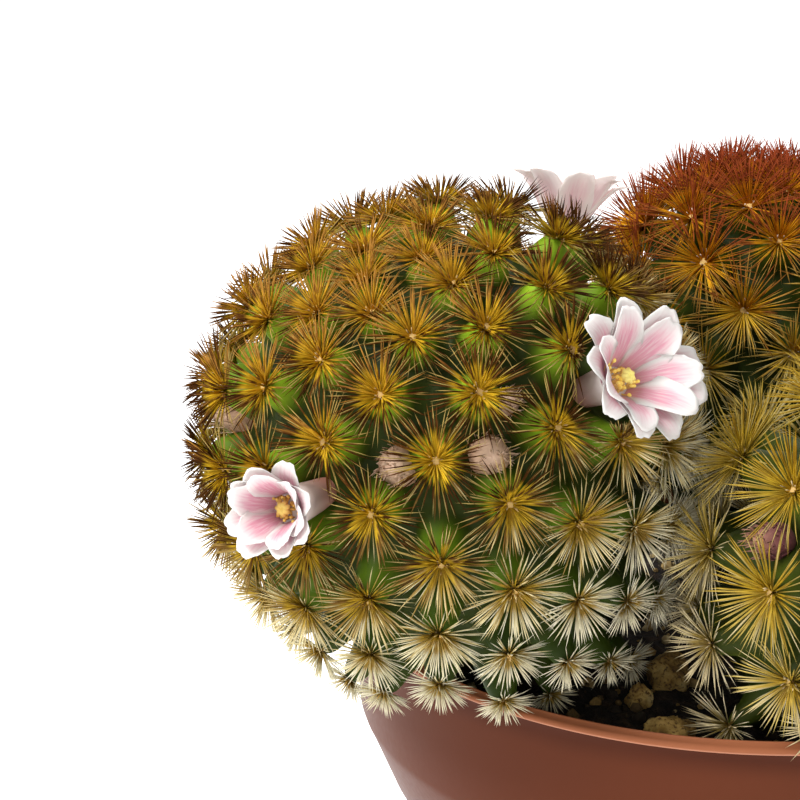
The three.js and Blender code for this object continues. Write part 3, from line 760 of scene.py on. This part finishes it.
mainPalette = Look(
    foot=[
        (0.0, 0.72, 0.41, 0.03), (0.12, 0.7, 0.44, 0.02), (0.24, 0.64, 0.42, 0.03), (0.34, 0.6, 0.41, 0.06),
        (0.47, 0.56, 0.38, 0.1), (0.5, 0.6, 0.42, 0.04), (0.63, 0.56, 0.41, 0.06), (0.76, 0.56, 0.41, 0.09),
        (0.82, 0.58, 0.42, 0.12), (0.93, 0.58, 0.44, 0.17), (0.95, *woolTone),
    ],
    point=[
        (0.0, 0.36, 0.17, 0.03), (0.06, 0.12, 0.045, 0.009), (0.12, 0.04, 0.014, 0.003),
        (0.19, 0.05, 0.018, 0.004), (0.25, 0.17, 0.09, 0.02), (0.31, 0.38, 0.26, 0.08),
        (0.36, 0.64, 0.52, 0.25), (0.42, 0.74, 0.67, 0.42), (0.47, 0.78, 0.73, 0.54), (0.5, 0.42, 0.28, 0.08),
        (0.62, 0.4, 0.28, 0.08), (0.7, 0.46, 0.34, 0.12), (0.78, 0.62, 0.52, 0.26), (0.86, 0.76, 0.7, 0.48),
        (0.93, 0.82, 0.78, 0.62), (0.95, 0.66, 0.47, 0.2),
    ],
    start=[(0.0, 0.54), (0.07, 0.46), (0.13, 0.42), (0.2, 0.42), (0.28, 0.46), (0.34, 0.42), (0.47, 0.34),
              (0.5, 0.45), (0.7, 0.45), (0.82, 0.38), (1.0, 0.34)],
)
rearPalette = Look(
    foot=[
        (0.0, 0.55, 0.17, 0.008), (0.14, 0.7, 0.31, 0.01), (0.26, 0.68, 0.42, 0.03), (0.38, 0.6, 0.46, 0.12),
        (0.47, 0.6, 0.5, 0.2), (0.5, 0.45, 0.14, 0.01), (0.63, 0.52, 0.23, 0.015), (0.74, 0.55, 0.36, 0.05),
        (0.93, 0.6, 0.52, 0.25), (0.95, *woolTone),
    ],
    point=[
        (0.0, 0.25, 0.045, 0.014), (0.14, 0.21, 0.05, 0.012), (0.26, 0.44, 0.26, 0.045),
        (0.38, 0.5, 0.42, 0.16), (0.47, 0.6, 0.55, 0.3), (0.5, 0.33, 0.07, 0.02), (0.63, 0.36, 0.12, 0.02),
        (0.74, 0.5, 0.38, 0.1), (0.93, 0.65, 0.6, 0.35), (0.95, 0.8, 0.62, 0.48),
    ],
    start=[(0.0, 0.46), (0.2, 0.5), (0.7, 0.5), (1.0, 0.4)],
)
frontPalette = Look(
    foot=[
        (0.0, 0.5, 0.29, 0.014), (0.14, 0.6, 0.38, 0.02), (0.24, 0.64, 0.44, 0.04), (0.33, 0.58, 0.4, 0.06),
        (0.47, 0.46, 0.34, 0.11), (0.5, 0.4, 0.25, 0.016), (0.63, 0.46, 0.3, 0.03), (0.74, 0.46, 0.33, 0.06),
        (0.93, 0.46, 0.38, 0.17), (0.95, 0.66, 0.5, 0.25),
    ],
    point=[
        (0.0, 0.18, 0.08, 0.005), (0.14, 0.25, 0.14, 0.01), (0.24, 0.34, 0.22, 0.025),
        (0.33, 0.43, 0.32, 0.08), (0.47, 0.56, 0.47, 0.28), (0.5, 0.25, 0.14, 0.012),
        (0.63, 0.36, 0.25, 0.03), (0.74, 0.46, 0.36, 0.13), (0.93, 0.6, 0.53, 0.36), (0.95, 0.7, 0.56, 0.3),
    ],
    start=[(0.0, 0.42), (1.0, 0.38)],
)
mainStyle = Look(
    ageing=((0, 0.3, 0.38, 0.44, 0.5, 0.57, 0.66), (0, 0.28, 0.42, 0.56, 0.72, 0.88, 1)), sunny=0.14,
    shrink=0.15, wornFrom=0.46, wornOver=0.26, wear=0.42, thinning=0.3, scatter=0.035, leftward=0.0,
    jitter=0.35, upward=0.12, mottle=0.07,
    inner=Look(count=88, wraps=1, tilt=(25, 84), length=(0.97, 1.1), width=0.092, ring=0.45, bend=0.04,
               tones=(0.0, 0.47)),
    outer=Look(count=38, wraps=1, tilt=(70, 96), length=(0.8, 1.0), width=0.068, ring=0.7, bend=0.06,
               tones=(0.5, 0.93)),
    wool=Look(count=16, wraps=3, tilt=(0, 75), length=(0.1, 0.19), width=0.1, ring=0.7, bend=0.05,
              tones=(0.955, 0.985)),
)
frontStyle = Look(
    mainStyle, ageing=((0, 0.4, 0.6, 0.75), (0, 0.34, 0.66, 1.0)), sunny=-0.24, wear=0.2,
    inner=Look(mainStyle.inner, count=80),
    outer=Look(mainStyle.outer, count=42),
)
rearStyle = Look(
    mainStyle, ageing=((0, 0.3, 0.5, 0.62, 0.75), (0, 0.3, 0.55, 0.8, 1.0)), sunny=0.1,
    shrink=0.0, leftward=0.4, inner=Look(mainStyle.inner, length=(1.08, 1.28)),
)

mainFlesh = fleshPaint("flesh_main", (0.3, 0.47, 0.02), (0.12, 0.22, 0.007), (0.011, 0.024, 0.003))
# the side stems' flesh is darker than the main head's, partly its own colour and partly painted shade among
# their dense needles
sideFlesh = fleshPaint("flesh_side", (0.1, 0.14, 0.006), (0.04, 0.055, 0.003), (0.012, 0.017, 0.002))
amber = needlePaint("needles_amber", **mainPalette)
yellow = needlePaint("needles_yellow", **frontPalette)
rust = needlePaint("needles_rust", **rearPalette)
heads = {
    "stem_main": (mainFlesh, mainStyle, amber),
    "stem_front": (sideFlesh, frontStyle, yellow),
    "stem_rear": (sideFlesh, rearStyle, rust),
    "stem_right": (sideFlesh, mainStyle, yellow),
    "stem_pup": (sideFlesh, mainStyle, amber),
}
for seed, (name, (flesh, style, needles)) in enumerate(heads.items(), 11):
    grown = tubercles(name)
    print(f"{name}: {len(grown)} tubercles")
    makeFlesh(name, grown, flesh)
    makeNeedles(name, grown, style, needles, seed)


# petals

petalLook = Look(rows=18, columns=14, thick=0.15, cup=0.26, wave=0.14, round=0.42, alternate=0.03, steps=40)
tubeLook = Look(radii=(1.2, 1.25, 1.35, 1.5, 1.7, 1.85, 1.5), sides=20, tone=(0.3, 0.12, 0.08))


# a thin closed blade from a function that gives the point at (s along, t across, side of the sheet)
def blade(point, rows, columns):
    spots = [(i / rows, 2 * j / columns - 1) for i in range(rows + 1) for j in range(columns + 1)]
    wide, under = columns + 1, len(spots)
    points = [point(s, t, side) for side in (1, -1) for s, t in spots]
    faces = []
    for i in range(rows):
        for j in range(columns):
            a = i * wide + j
            faces.append((a, a + 1, a + 1 + wide, a + wide))
            faces.append(tuple(under + k for k in (a, a + wide, a + 1 + wide, a + 1)))
    edge = [*range(wide), *(i * wide + columns for i in range(1, rows + 1))]
    edge += range(rows * wide + columns - 1, rows * wide - 1, -1)
    edge += range((rows - 1) * wide, 0, -wide)
    for a, b in zip(edge, edge[1:] + edge[:1]):
        faces.append((b, a, under + a, under + b))
    return points, faces, spots + spots


def addPetal(lump, flower, layer, turn, rng):
    look, bloom, steps = petalLook, flower.bloom, petalLook.steps
    length = bloom.petal * layer.length * rng.uniform(0.95, 1.04)
    lean = layer.lean * (1 + bloom.ruffle * rng.uniform(-1, 1))
    phase, twist, curl = rng.uniform(0, 6), rng.uniform(-0.12, 0.12), rng.uniform(5, 45)
    line = [(*layer.root, math.radians(lean * 0.45))]
    for i in range(1, steps + 1):
        bend = math.radians(lean * (0.45 + 0.75 * i / steps) + curl * smooth((i / steps - 0.7) / 0.3))
        r, h, _ = line[-1]
        line.append((r + length / steps * math.sin(bend), h + length / steps * math.cos(bend), bend))

    def point(s, t, side):
        tipward = 1 - look.round * (1 - math.sqrt(max(0.0, 1 - t * t))) + 0.014 * math.sin(9 * t + phase)
        along = s * (tipward if s > 0.5 else 1 + (tipward - 1) * smooth(s * 2))
        r, h, bend = line[min(steps, int(round(along * steps)))]
        half = 0.5 * bloom.width * (0.3 + 0.72 * smooth(s / 0.75)) * (1 - 0.06 * smooth((s - 0.85) / 0.15))
        lift = look.cup * half * t * t + look.wave * s * math.sin(5.5 * s + 3 * t + phase) * abs(t)
        lift += side * look.thick * 0.5 * (1 - 0.7 * t * t) * (1 - 0.5 * s)
        r, h = r - math.cos(bend) * lift, h + math.sin(bend) * lift
        across = t * half + twist * s * s * half
        return r * math.cos(turn) - across * math.sin(turn), r * math.sin(turn) + across * math.cos(turn), h

    points, faces, spots = blade(point, look.rows, look.columns)
    points = placedAlong(points, flower.at, flower.looks)
    lump.add(points, faces, along=[s for s, _ in spots], across=[t for _, t in spots])


# along runs from 0 at the throat to 1 at a petal's tip, and from 1 to 2 down the tube
# paintedGlow is a painted glow: the petals give off their own colour, standing for light shining through them
def petalPaint(name, pale, pink, depth, paintedGlow=0.06):
    paint = Paint(name, Roughness=0.5, Subsurface_Weight=0.35, Subsurface_Scale=0.001,
                  Subsurface_Radius=(1.0, 0.8, 0.8), Specular_IOR_Level=0.3, Emission_Strength=paintedGlow)
    along, across = paint.attribute("along"), paint.attribute("across")
    veins = paint.noise(2.4, 3.0, paint.node("CombineXYZ", {}, {0: across * 3.6, 1: along * 1.2}))
    stripe = 1 - paint.between(across * across, 0.02, 0.7)
    length = 1 - paint.between(along, 0.6, 1.05)
    flush = (stripe * length * depth + (1 - paint.between(along, 0.0, 0.55)) * depth * 0.8).clamped()
    petal = paint.mixed(flush * (veins * 2.0 - 0.05), pale, pink)
    colour = paint.mixed(paint.between(along, 1.02, 1.7), petal, tubeLook.tone)
    return paint.finish(colour, bump=(veins, 0.35, 0.00012), Emission_Color=colour)


def makePetals(name, flower, paint, seed):
    rng, lump, bloom = random.Random(seed), Lump(), flower.bloom
    layers = [
        Look(count=flower.outer, lean=bloom.open, length=1, start=0, root=(1.25, -0.6)),
        Look(count=flower.inner, lean=bloom.open * bloom.inner, length=0.95, start=0.5, root=(1.2, -0.35)),
    ]
    for layer in layers:
        for k in range(layer.count):
            turn = 2 * math.pi * (k + layer.start + rng.uniform(-0.12, 0.12)) / layer.count
            lean = layer.lean * (1 - petalLook.alternate * (k % 2))
            addPetal(lump, flower, Look(layer, lean=lean), turn, rng)
    line = [flower.root.lerp(flower.at, k / 5) for k in range(6)]
    line.append(flower.at + flower.looks * 0.2)
    points, faces = tube(line, tubeLook.radii, tubeLook.sides)
    down = [2 - 0.15 * (i // tubeLook.sides) for i in range(len(points))]
    lump.add(points, faces, along=down, across=[0.35] * len(points))
    lump.piece(name + "_bloom", paint, "petals", (name + "_petals",))


# stamens and stigma

stamenLook = Look(count=42, length=(1.7, 2.7), thread=0.11, anther=0.2, lobes=7, size=0.9)
stigmaLook = Look(heights=(-0.5, 1.0, 2.3), stalk=(0.2, 0.2, 0.35), lobe=(0.34, 0.36, 0.22), sides=8)


def upTo(height):
    return Vector((0, 0, height))


def ball(centre, axis, length, width):
    rows = []
    side = axis.orthogonal().normalized()
    for k in range(5):
        bend = math.pi * (k + 0.35) / 5
        middle = centre - axis * length * math.cos(bend)
        rows.append(hoop(middle, side, axis.cross(side), width * math.sin(bend), 6))
    return skin(rows)


# tones: threads from 0.15, anthers from 0.5, the stigma from 0.9
def makeStamens(name, flower, paint, seed):
    rng, lump, look = random.Random(seed), Lump(), stamenLook

    def put(parts, tone):
        points, faces = parts
        points = [p * look.size + upTo(-flower.bloom.deep) for p in points]
        lump.add(placedAlong(points, flower.at, flower.looks), faces, tone=[tone] * len(points))

    for k in range(look.count):
        out = outward(2.4 * k + rng.uniform(-0.3, 0.3))
        ring, length = rng.uniform(0.35, 1.15), rng.uniform(*look.length)
        spread, curl = rng.uniform(0.4, 1.5), rng.uniform(0.2, 1.5)
        line = [out * (ring + spread * s - curl * s ** 3) + upTo(-0.5 + length * s * (1 - 0.12 * s))
                for s in (0, 0.25, 0.5, 0.75, 1.0)]
        put(tube(line, [look.thread] * 5, 4), 0.15 + 0.1 * rng.random())
        aim = (line[-1] - line[-2]).normalized()
        anther = ball(line[-1], (aim + out * 0.5).normalized(), look.anther * 1.3, look.anther)
        put(anther, 0.5 + 0.1 * rng.random())
    put(tube([upTo(z) for z in stigmaLook.heights], stigmaLook.stalk, stigmaLook.sides), 0.9)
    for turn in turnsOf(look.lobes):
        out = outward(turn)
        line = [upTo(2.1), out * 0.4 + upTo(2.45), out * 0.75 + upTo(2.25)]
        put(tube(line, stigmaLook.lobe, stigmaLook.sides), 1.0)
    lump.piece(name + "_centre", paint, "stamens", (name + "_stamens",))


def stamenPaint(name, amber, paintedGlow):
    # paintedGlow is a painted glow: the stamens give off their own colour as if lit
    paint = Paint(name, Roughness=0.7, Emission_Strength=paintedGlow)
    tone, grain = paint.attribute("tone"), paint.noise(3000.0, 2.0)
    # the threads are painted darker than the anthers, a painted shade deep in the flower's throat
    stops = [
        (0.0, 0.5, 0.3, 0.1), (0.3, 0.62, 0.4, 0.12), (0.5, 0.88, 0.64, 0.12), (0.62, 0.92, 0.76, 0.2),
        (0.8, 0.8, 0.72, 0.26), (1.0, 0.82, 0.72, 0.2),
    ]
    colour = paint.mixed(amber, paint.ramp(tone, stops), (0.6, 0.36, 0.06))
    dusty = paint.mixed(grain * 0.15, colour, (0.6, 0.36, 0.04))
    return paint.finish(dusty, bump=(grain, 0.3, 0.00006), Emission_Color=colour)


pinkPetals = petalPaint("petal_white_pink", (0.625, 0.605, 0.575), (0.57, 0.25, 0.31), 0.95)
deepPetals = petalPaint("petal_deep_pink", (0.63, 0.59, 0.56), (0.53, 0.225, 0.29), 1.0)
# the back flower's petals get the strongest painted glow
palePetals = petalPaint("petal_pale", (0.71, 0.61, 0.57), (0.63, 0.38, 0.41), 0.7, 0.25)
pollen, amberPollen = stamenPaint("pollen_yellow", 0.0, 0.2), stamenPaint("pollen_amber", 0.6, 0.0)
flowerPaints = {
    "flower_right": (pinkPetals, pollen), "flower_left": (deepPetals, amberPollen),
    "flower_back": (palePetals, pollen),
}
for seed, (name, flower) in enumerate(flowers.items()):
    petals, centre = flowerPaints[name]
    makePetals(name, flower, petals, 40 + seed)
    makeStamens(name, flower, centre, 60 + seed)


# buds: an egg of folded scales in a coat of hair

budLook = Look(
    rows=16, sides=30, scales=5, fold=0.09, plump=0.92, hairRoot=0.9, hairs=90, hair=(0.8, 2.0),
    thread=(0.06, 0.05, 0.015),
)


# rise runs from the bud's foot to its hairy tip
def budPaint(name, tones, wool):
    paint = Paint(name, Roughness=0.8)
    rise, grain = paint.attribute("rise"), paint.noise(1500.0, 4.0)
    colour = paint.ramp(rise, [(place, *tone) for place, tone in zip((0.0, 0.35, 0.7, 1.0), tones)])
    return paint.finish(paint.mixed(grain * 0.3, colour, wool), bump=(grain, 0.5, 0.0001))


def makeBud(name, bud, paint, seed):
    rng, lump, look = random.Random(seed), Lump(), budLook
    span = (bud.at - bud.root).length + bud.radius

    def put(points, faces, rise):
        lump.add(placedAlong(points, bud.root, bud.looks), faces, rise=rise)

    def bulge(share, fullness):
        return fullness * bud.radius * math.sin(math.pi * share ** 1.25) ** 0.7

    rows = []
    for i in range(look.rows + 1):
        s = (i + 0.02) / (look.rows + 0.04)
        row = []
        for turn in turnsOf(look.sides):
            fold = 1 + look.fold * abs(math.sin(look.scales * turn / 2 + 7 * s)) - 0.05
            radius = bulge(s, look.plump) * fold
            row.append((radius * math.cos(turn), radius * math.sin(turn), span * s))
        rows.append(row)
    points, faces = skin(rows)
    put(points, faces, [p[2] / span for p in points])
    for k in range(look.hairs):
        s, out = rng.uniform(0.45, 0.97), outward(2.4 * k)
        start = out * bulge(s, look.hairRoot) + upTo(span * s)
        aim = out * rng.uniform(0.15, 0.8) * (1.1 - s) + Vector((rng.gauss(0, 0.2), rng.gauss(0, 0.2), 1))
        reach = aim.normalized() * rng.uniform(*look.hair) * bud.radius / 2
        points, faces = tube([start, start + reach * 0.5 + out * 0.05, start + reach], look.thread, 3)
        put(points, faces, [0.35 + 0.7 * s] * len(points))
    lump.piece(name + "_tuft", paint, "buds", (name,))


tanTones = ((0.13, 0.09, 0.03), (0.28, 0.14, 0.07), (0.38, 0.21, 0.12), (0.72, 0.5, 0.36))
roseTones = ((0.04, 0.03, 0.008), (0.1, 0.03, 0.02), (0.16, 0.035, 0.045), (0.34, 0.16, 0.1))
tanBud = budPaint("bud_tan", tanTones, (0.5, 0.34, 0.23))
roseBud = budPaint("bud_rose", roseTones, (0.2, 0.09, 0.07))
for seed, (name, bud) in enumerate(buds.items()):
    makeBud(name, bud, roseBud if bud.stem == "stem_front" else tanBud, 80 + seed)


# pebbles

pebbles = {
    "pebble_rim": Look(at=(-10.4, -35.2), size=(2.9, 2.0, 2.3), turn=20),
    "pebble_large": Look(at=(-8.6, -20.4), size=(2.6, 2.2, 2.7), turn=75),
    "pebble_amber": Look(at=(-12.2, -25.6), size=(1.6, 1.3, 1.5), turn=130),
    "pebble_front": Look(at=(-4.9, -36.9), size=(1.5, 1.2, 1.1), turn=200),
    "pebble_left": Look(at=(-25, 10), size=(2.8, 2.2, 1.9), turn=15),
    "pebble_back": Look(at=(26, 22), size=(2.5, 2.1, 1.8), turn=255),
}
# each noise is its scale and its height as a share of the pebble's size
pebbleLook = Look(
    facets=16, cut=(0.72, 0.92), detail=5, above=0.35, noises=((1.6, 0.12), (4.5, 0.09), (11, 0.05)),
)


def rockShape(detail):
    rock = bmesh.new()
    bmesh.ops.create_icosphere(rock, subdivisions=detail, radius=1)
    points, faces = [v.co.copy() for v in rock.verts], [tuple(v.index for v in f.verts) for f in rock.faces]
    rock.free()
    return points, faces


def pebblePaint():
    paint = Paint("pumice_ochre", Roughness=0.9)
    patches, grain = paint.noise(420.0, 5.0), paint.noise(2600.0, 4.0)
    colour = paint.ramp(patches, [
        (0.3, 0.12, 0.06, 0.014), (0.45, 0.28, 0.16, 0.035), (0.58, 0.48, 0.31, 0.09), (0.75, 0.6, 0.46, 0.2),
    ])
    pitted = paint.mixed(paint.between(grain, 0.34, 0.5), (0.11, 0.055, 0.015), colour)
    return paint.finish(pitted, bump=(grain * 0.7 + patches, 0.9, 0.0003))


def makePebble(name, pebble, paint, shape):
    points, faces = shape
    made, look, angle = [], pebbleLook, pebble.turn
    turn = Matrix.Rotation(math.radians(angle), 3, "Z")
    centre = Vector((*pebble.at, soilHeight(*pebble.at) + pebble.size[2] * look.above))
    rng = random.Random(angle)
    facets = [(Vector([rng.gauss(0, 1) for _ in range(3)]).normalized(), rng.uniform(*look.cut))
              for _ in range(look.facets)]
    for p in points:
        swell = 1.04 + 0.13 * math.sin(3.1 * p.x + angle) * math.cos(2.7 * p.y + 1.9 * p.z)
        for facing, reach in facets:
            swell = min(swell, 0.25 * swell + 0.75 * reach / max(p.dot(facing), 0.2))
        shifted = p + upTo(angle)
        swell += sum(height * noise.noise(shifted * scale) for scale, height in look.noises)
        made.append(centre + turn @ Vector([c * s * swell for c, s in zip(p, pebble.size)]))
    addPiece(name + "_stone", made, faces, paint, (name,))


ochre, stoneShape = pebblePaint(), rockShape(pebbleLook.detail)
for name, pebble in pebbles.items():
    makePebble(name, pebble, ochre, stoneShape)


# soil and its grit

soilLook = Look(rings=90, sides=200, radius=40.7, rough=0.9, under=((28.9, 1.9), (34.8, 46.0), (39.7, 55.0)))
gritLook = Look(count=1500, size=(0.22, 0.95), reach=39.4, seed=5)


def soilPaint():
    paint = Paint("potting_soil", Roughness=0.95)
    clumps, grain = paint.noise(500.0, 5.0), paint.noise(2200.0, 4.0)
    stops = [(0.35, 0.006, 0.004, 0.003), (0.55, 0.02, 0.012, 0.007), (0.72, 0.06, 0.035, 0.018)]
    colour = paint.ramp(clumps, stops)
    return paint.finish(colour, bump=(grain + clumps, 0.9, 0.0006))


def gritPaint():
    paint = Paint("soil_grit", Roughness=0.9)
    tone, grain = paint.attribute("tone"), paint.noise(1800.0, 3.0)
    colour = paint.ramp(tone, [
        (0.0, 0.012, 0.008, 0.005), (0.45, 0.05, 0.028, 0.012), (0.56, 0.2, 0.12, 0.035),
        (0.75, 0.5, 0.31, 0.09), (1.0, 0.62, 0.48, 0.24),
    ])
    return paint.finish(paint.mixed(grain * 0.6, colour, (0.03, 0.02, 0.01)), bump=(grain, 0.6, 0.0002))


def roughSoil(x, y):
    p = Vector((x, y, 3.0))
    crumbs = noise.noise(p * 0.45) + 0.6 * noise.noise(p * 1.1) + 0.3 * noise.noise(p * 2.6)
    return soilHeight(x, y) + soilLook.rough * (0.5 * crumbs - 0.15)


def makeSoil():
    look = soilLook
    rows = [flatRing(radius, height, look.sides) for radius, height in look.under]
    for i in range(look.rings):
        ring = flatRing(look.radius * (1 - i / look.rings), 0, look.sides)
        rows.append([(x, y, roughSoil(x, y)) for x, y, _ in ring])
    points, faces = skin(rows)
    addPiece("soil_bed", points, faces, soilPaint(), ("soil",))


# a grain that falls on a stem's foot is left out
def makeGrit():
    rng, lump = random.Random(gritLook.seed), Lump()
    points, faces = rockShape(1)
    smallest, largest = gritLook.size
    for _ in range(gritLook.count):
        radius, turn = gritLook.reach * math.sqrt(rng.random()), rng.uniform(0, 2 * math.pi)
        x, y = radius * math.cos(turn), radius * math.sin(turn)
        size = smallest + (largest - smallest) * rng.random() ** 2.5
        turned = Euler([rng.uniform(0, 6) for _ in range(3)]).to_matrix()
        stretch = [size * rng.uniform(0.6, 1.2) for _ in range(3)]
        tone, shift = rng.random(), Vector((rng.uniform(0, 99), 0, 0))
        if any(math.hypot(x - s.foot[0], y - s.foot[1]) < s.neck + 0.5 for s in stems.values()):
            continue
        centre = Vector((x, y, roughSoil(x, y) + size * 0.2))
        made = []
        for p in points:
            swell = 1 + 0.25 * noise.noise(p * 2 + shift)
            made.append(centre + turned @ Vector([c * k * swell for c, k in zip(p, stretch)]))
        lump.add(made, faces, tone=[tone] * len(made))
    lump.piece("soil_grit", gritPaint(), "soil", rounded=False)


makeSoil()
makeGrit()


# pot: heights for the paint are in metres, and the walls are pairs of radius and height

potLook = Look(
    sides=192, holes=6, holeRadius=2.6, holeCircle=18, holeDepth=2.4, crease=50,
    lip=(0.0686, 0.0688), beadEdge=(0.0689, 0.0691), underBead=(0.0655, 0.0683),
    outside=[(35.7, 42.0), (35.95, 44.5), (36.3, 46.0), (36.8, 47.0), (37.6, 48.2), (40.4, 54.8),
                (40.8, 55.6), (41.1, 56.5), (41.35, 62.0), (41.55, 67.4), (41.62, 68.5), (41.72, 68.68),
                (42.15, 68.74)],
    inside=[(41.22, 68.8), (40.9, 64.0), (40.0, 56.4), (39.6, 55.2), (36.2, 48.4), (35.1, 46.0),
               (34.6, 42.0), (29.5, 2.0), (29.1, 1.6), (0.02, 1.6)],
)


def potPaint():
    paint = Paint("terracotta_plastic", Specular_IOR_Level=0.06)
    cloud, grain = paint.noise(22.0, 3.0), paint.noise(1400.0, 3.0)
    high = paint.part(paint.place(), 2)
    lip = paint.between(high, *potLook.lip)
    wall = paint.mixed(cloud, (0.078, 0.019, 0.007), (0.1, 0.026, 0.01))
    # painted shadow: a dark band on the wall under the bead
    under = paint.between(high, *potLook.underBead) * (1 - lip)
    # painted highlight: a thin lighter line along the bead's lower edge
    edge = lip * (1 - paint.between(high, *potLook.beadEdge))
    # painted glints: sparse bright specks on the lip
    lipGlints = paint.between(paint.noise(260.0, 0.0), 0.74, 0.78) * lip
    shaded = paint.mixed(under * 0.6, wall, (0.04, 0.009, 0.004))
    # painted light: the bead is lighter than the wall, as its rounded top catches the light
    bead = paint.mixed(edge * 0.75, (0.25, 0.085, 0.038), (0.44, 0.2, 0.12))
    colour = paint.mixed(lipGlints * 0.5, paint.mixed(lip, shaded, bead), (0.7, 0.5, 0.4))
    gloss = 0.34 + grain * 0.12 + cloud * 0.05
    return paint.finish(colour, bump=(grain, 0.12, 0.00008), Roughness=gloss)


def arc(r, z, radius, start, end, count):
    turns = [math.radians(start + (end - start) * k / (count - 1)) for k in range(count)]
    return [(r + radius * math.cos(t), z + radius * math.sin(t)) for t in turns]


def drillHoles(piece):
    drills, depth = Lump(), potLook.holeDepth
    for turn in turnsOf(potLook.holes):
        centre = outward(turn) * potLook.holeCircle
        drills.add(*tube([centre + upTo(-depth), centre + upTo(depth)], [potLook.holeRadius] * 2, 32))
    mesh = bpy.data.meshes.new("drills")
    mesh.from_pydata([p * mm for p in drills.points], [], drills.faces)
    cutter = addObject("drills", mesh)
    cut = piece.modifiers.new("drain holes", "BOOLEAN")
    cut.operation, cut.object, cut.solver = "DIFFERENCE", cutter, "EXACT"
    bpy.context.view_layer.update()
    drilled = bpy.data.meshes.new_from_object(piece.evaluated_get(bpy.context.evaluated_depsgraph_get()))
    piece.modifiers.clear()
    piece.data = drilled
    bpy.data.objects.remove(cutter)


def makePot():
    base = [(0.02, 0.0), (28.6, 0.0), *arc(29.4, 0.8, 0.8, -90, -5, 5)]
    bead = [*arc(42.05, 69.18, 0.44, -70, 85, 8), *arc(41.75, 69.58, 0.38, 85, 175, 6)]
    profile = [*base, *potLook.outside, *bead, *potLook.inside]
    points, faces = skin([flatRing(radius, height, potLook.sides) for radius, height in profile])
    piece = addPiece("nursery_pot", points, faces, potPaint(), ("pot",))
    drillHoles(piece)
    crisp = piece.modifiers.new("crisp edges", "EDGE_SPLIT")
    crisp.split_angle = math.radians(potLook.crease)


makePot()
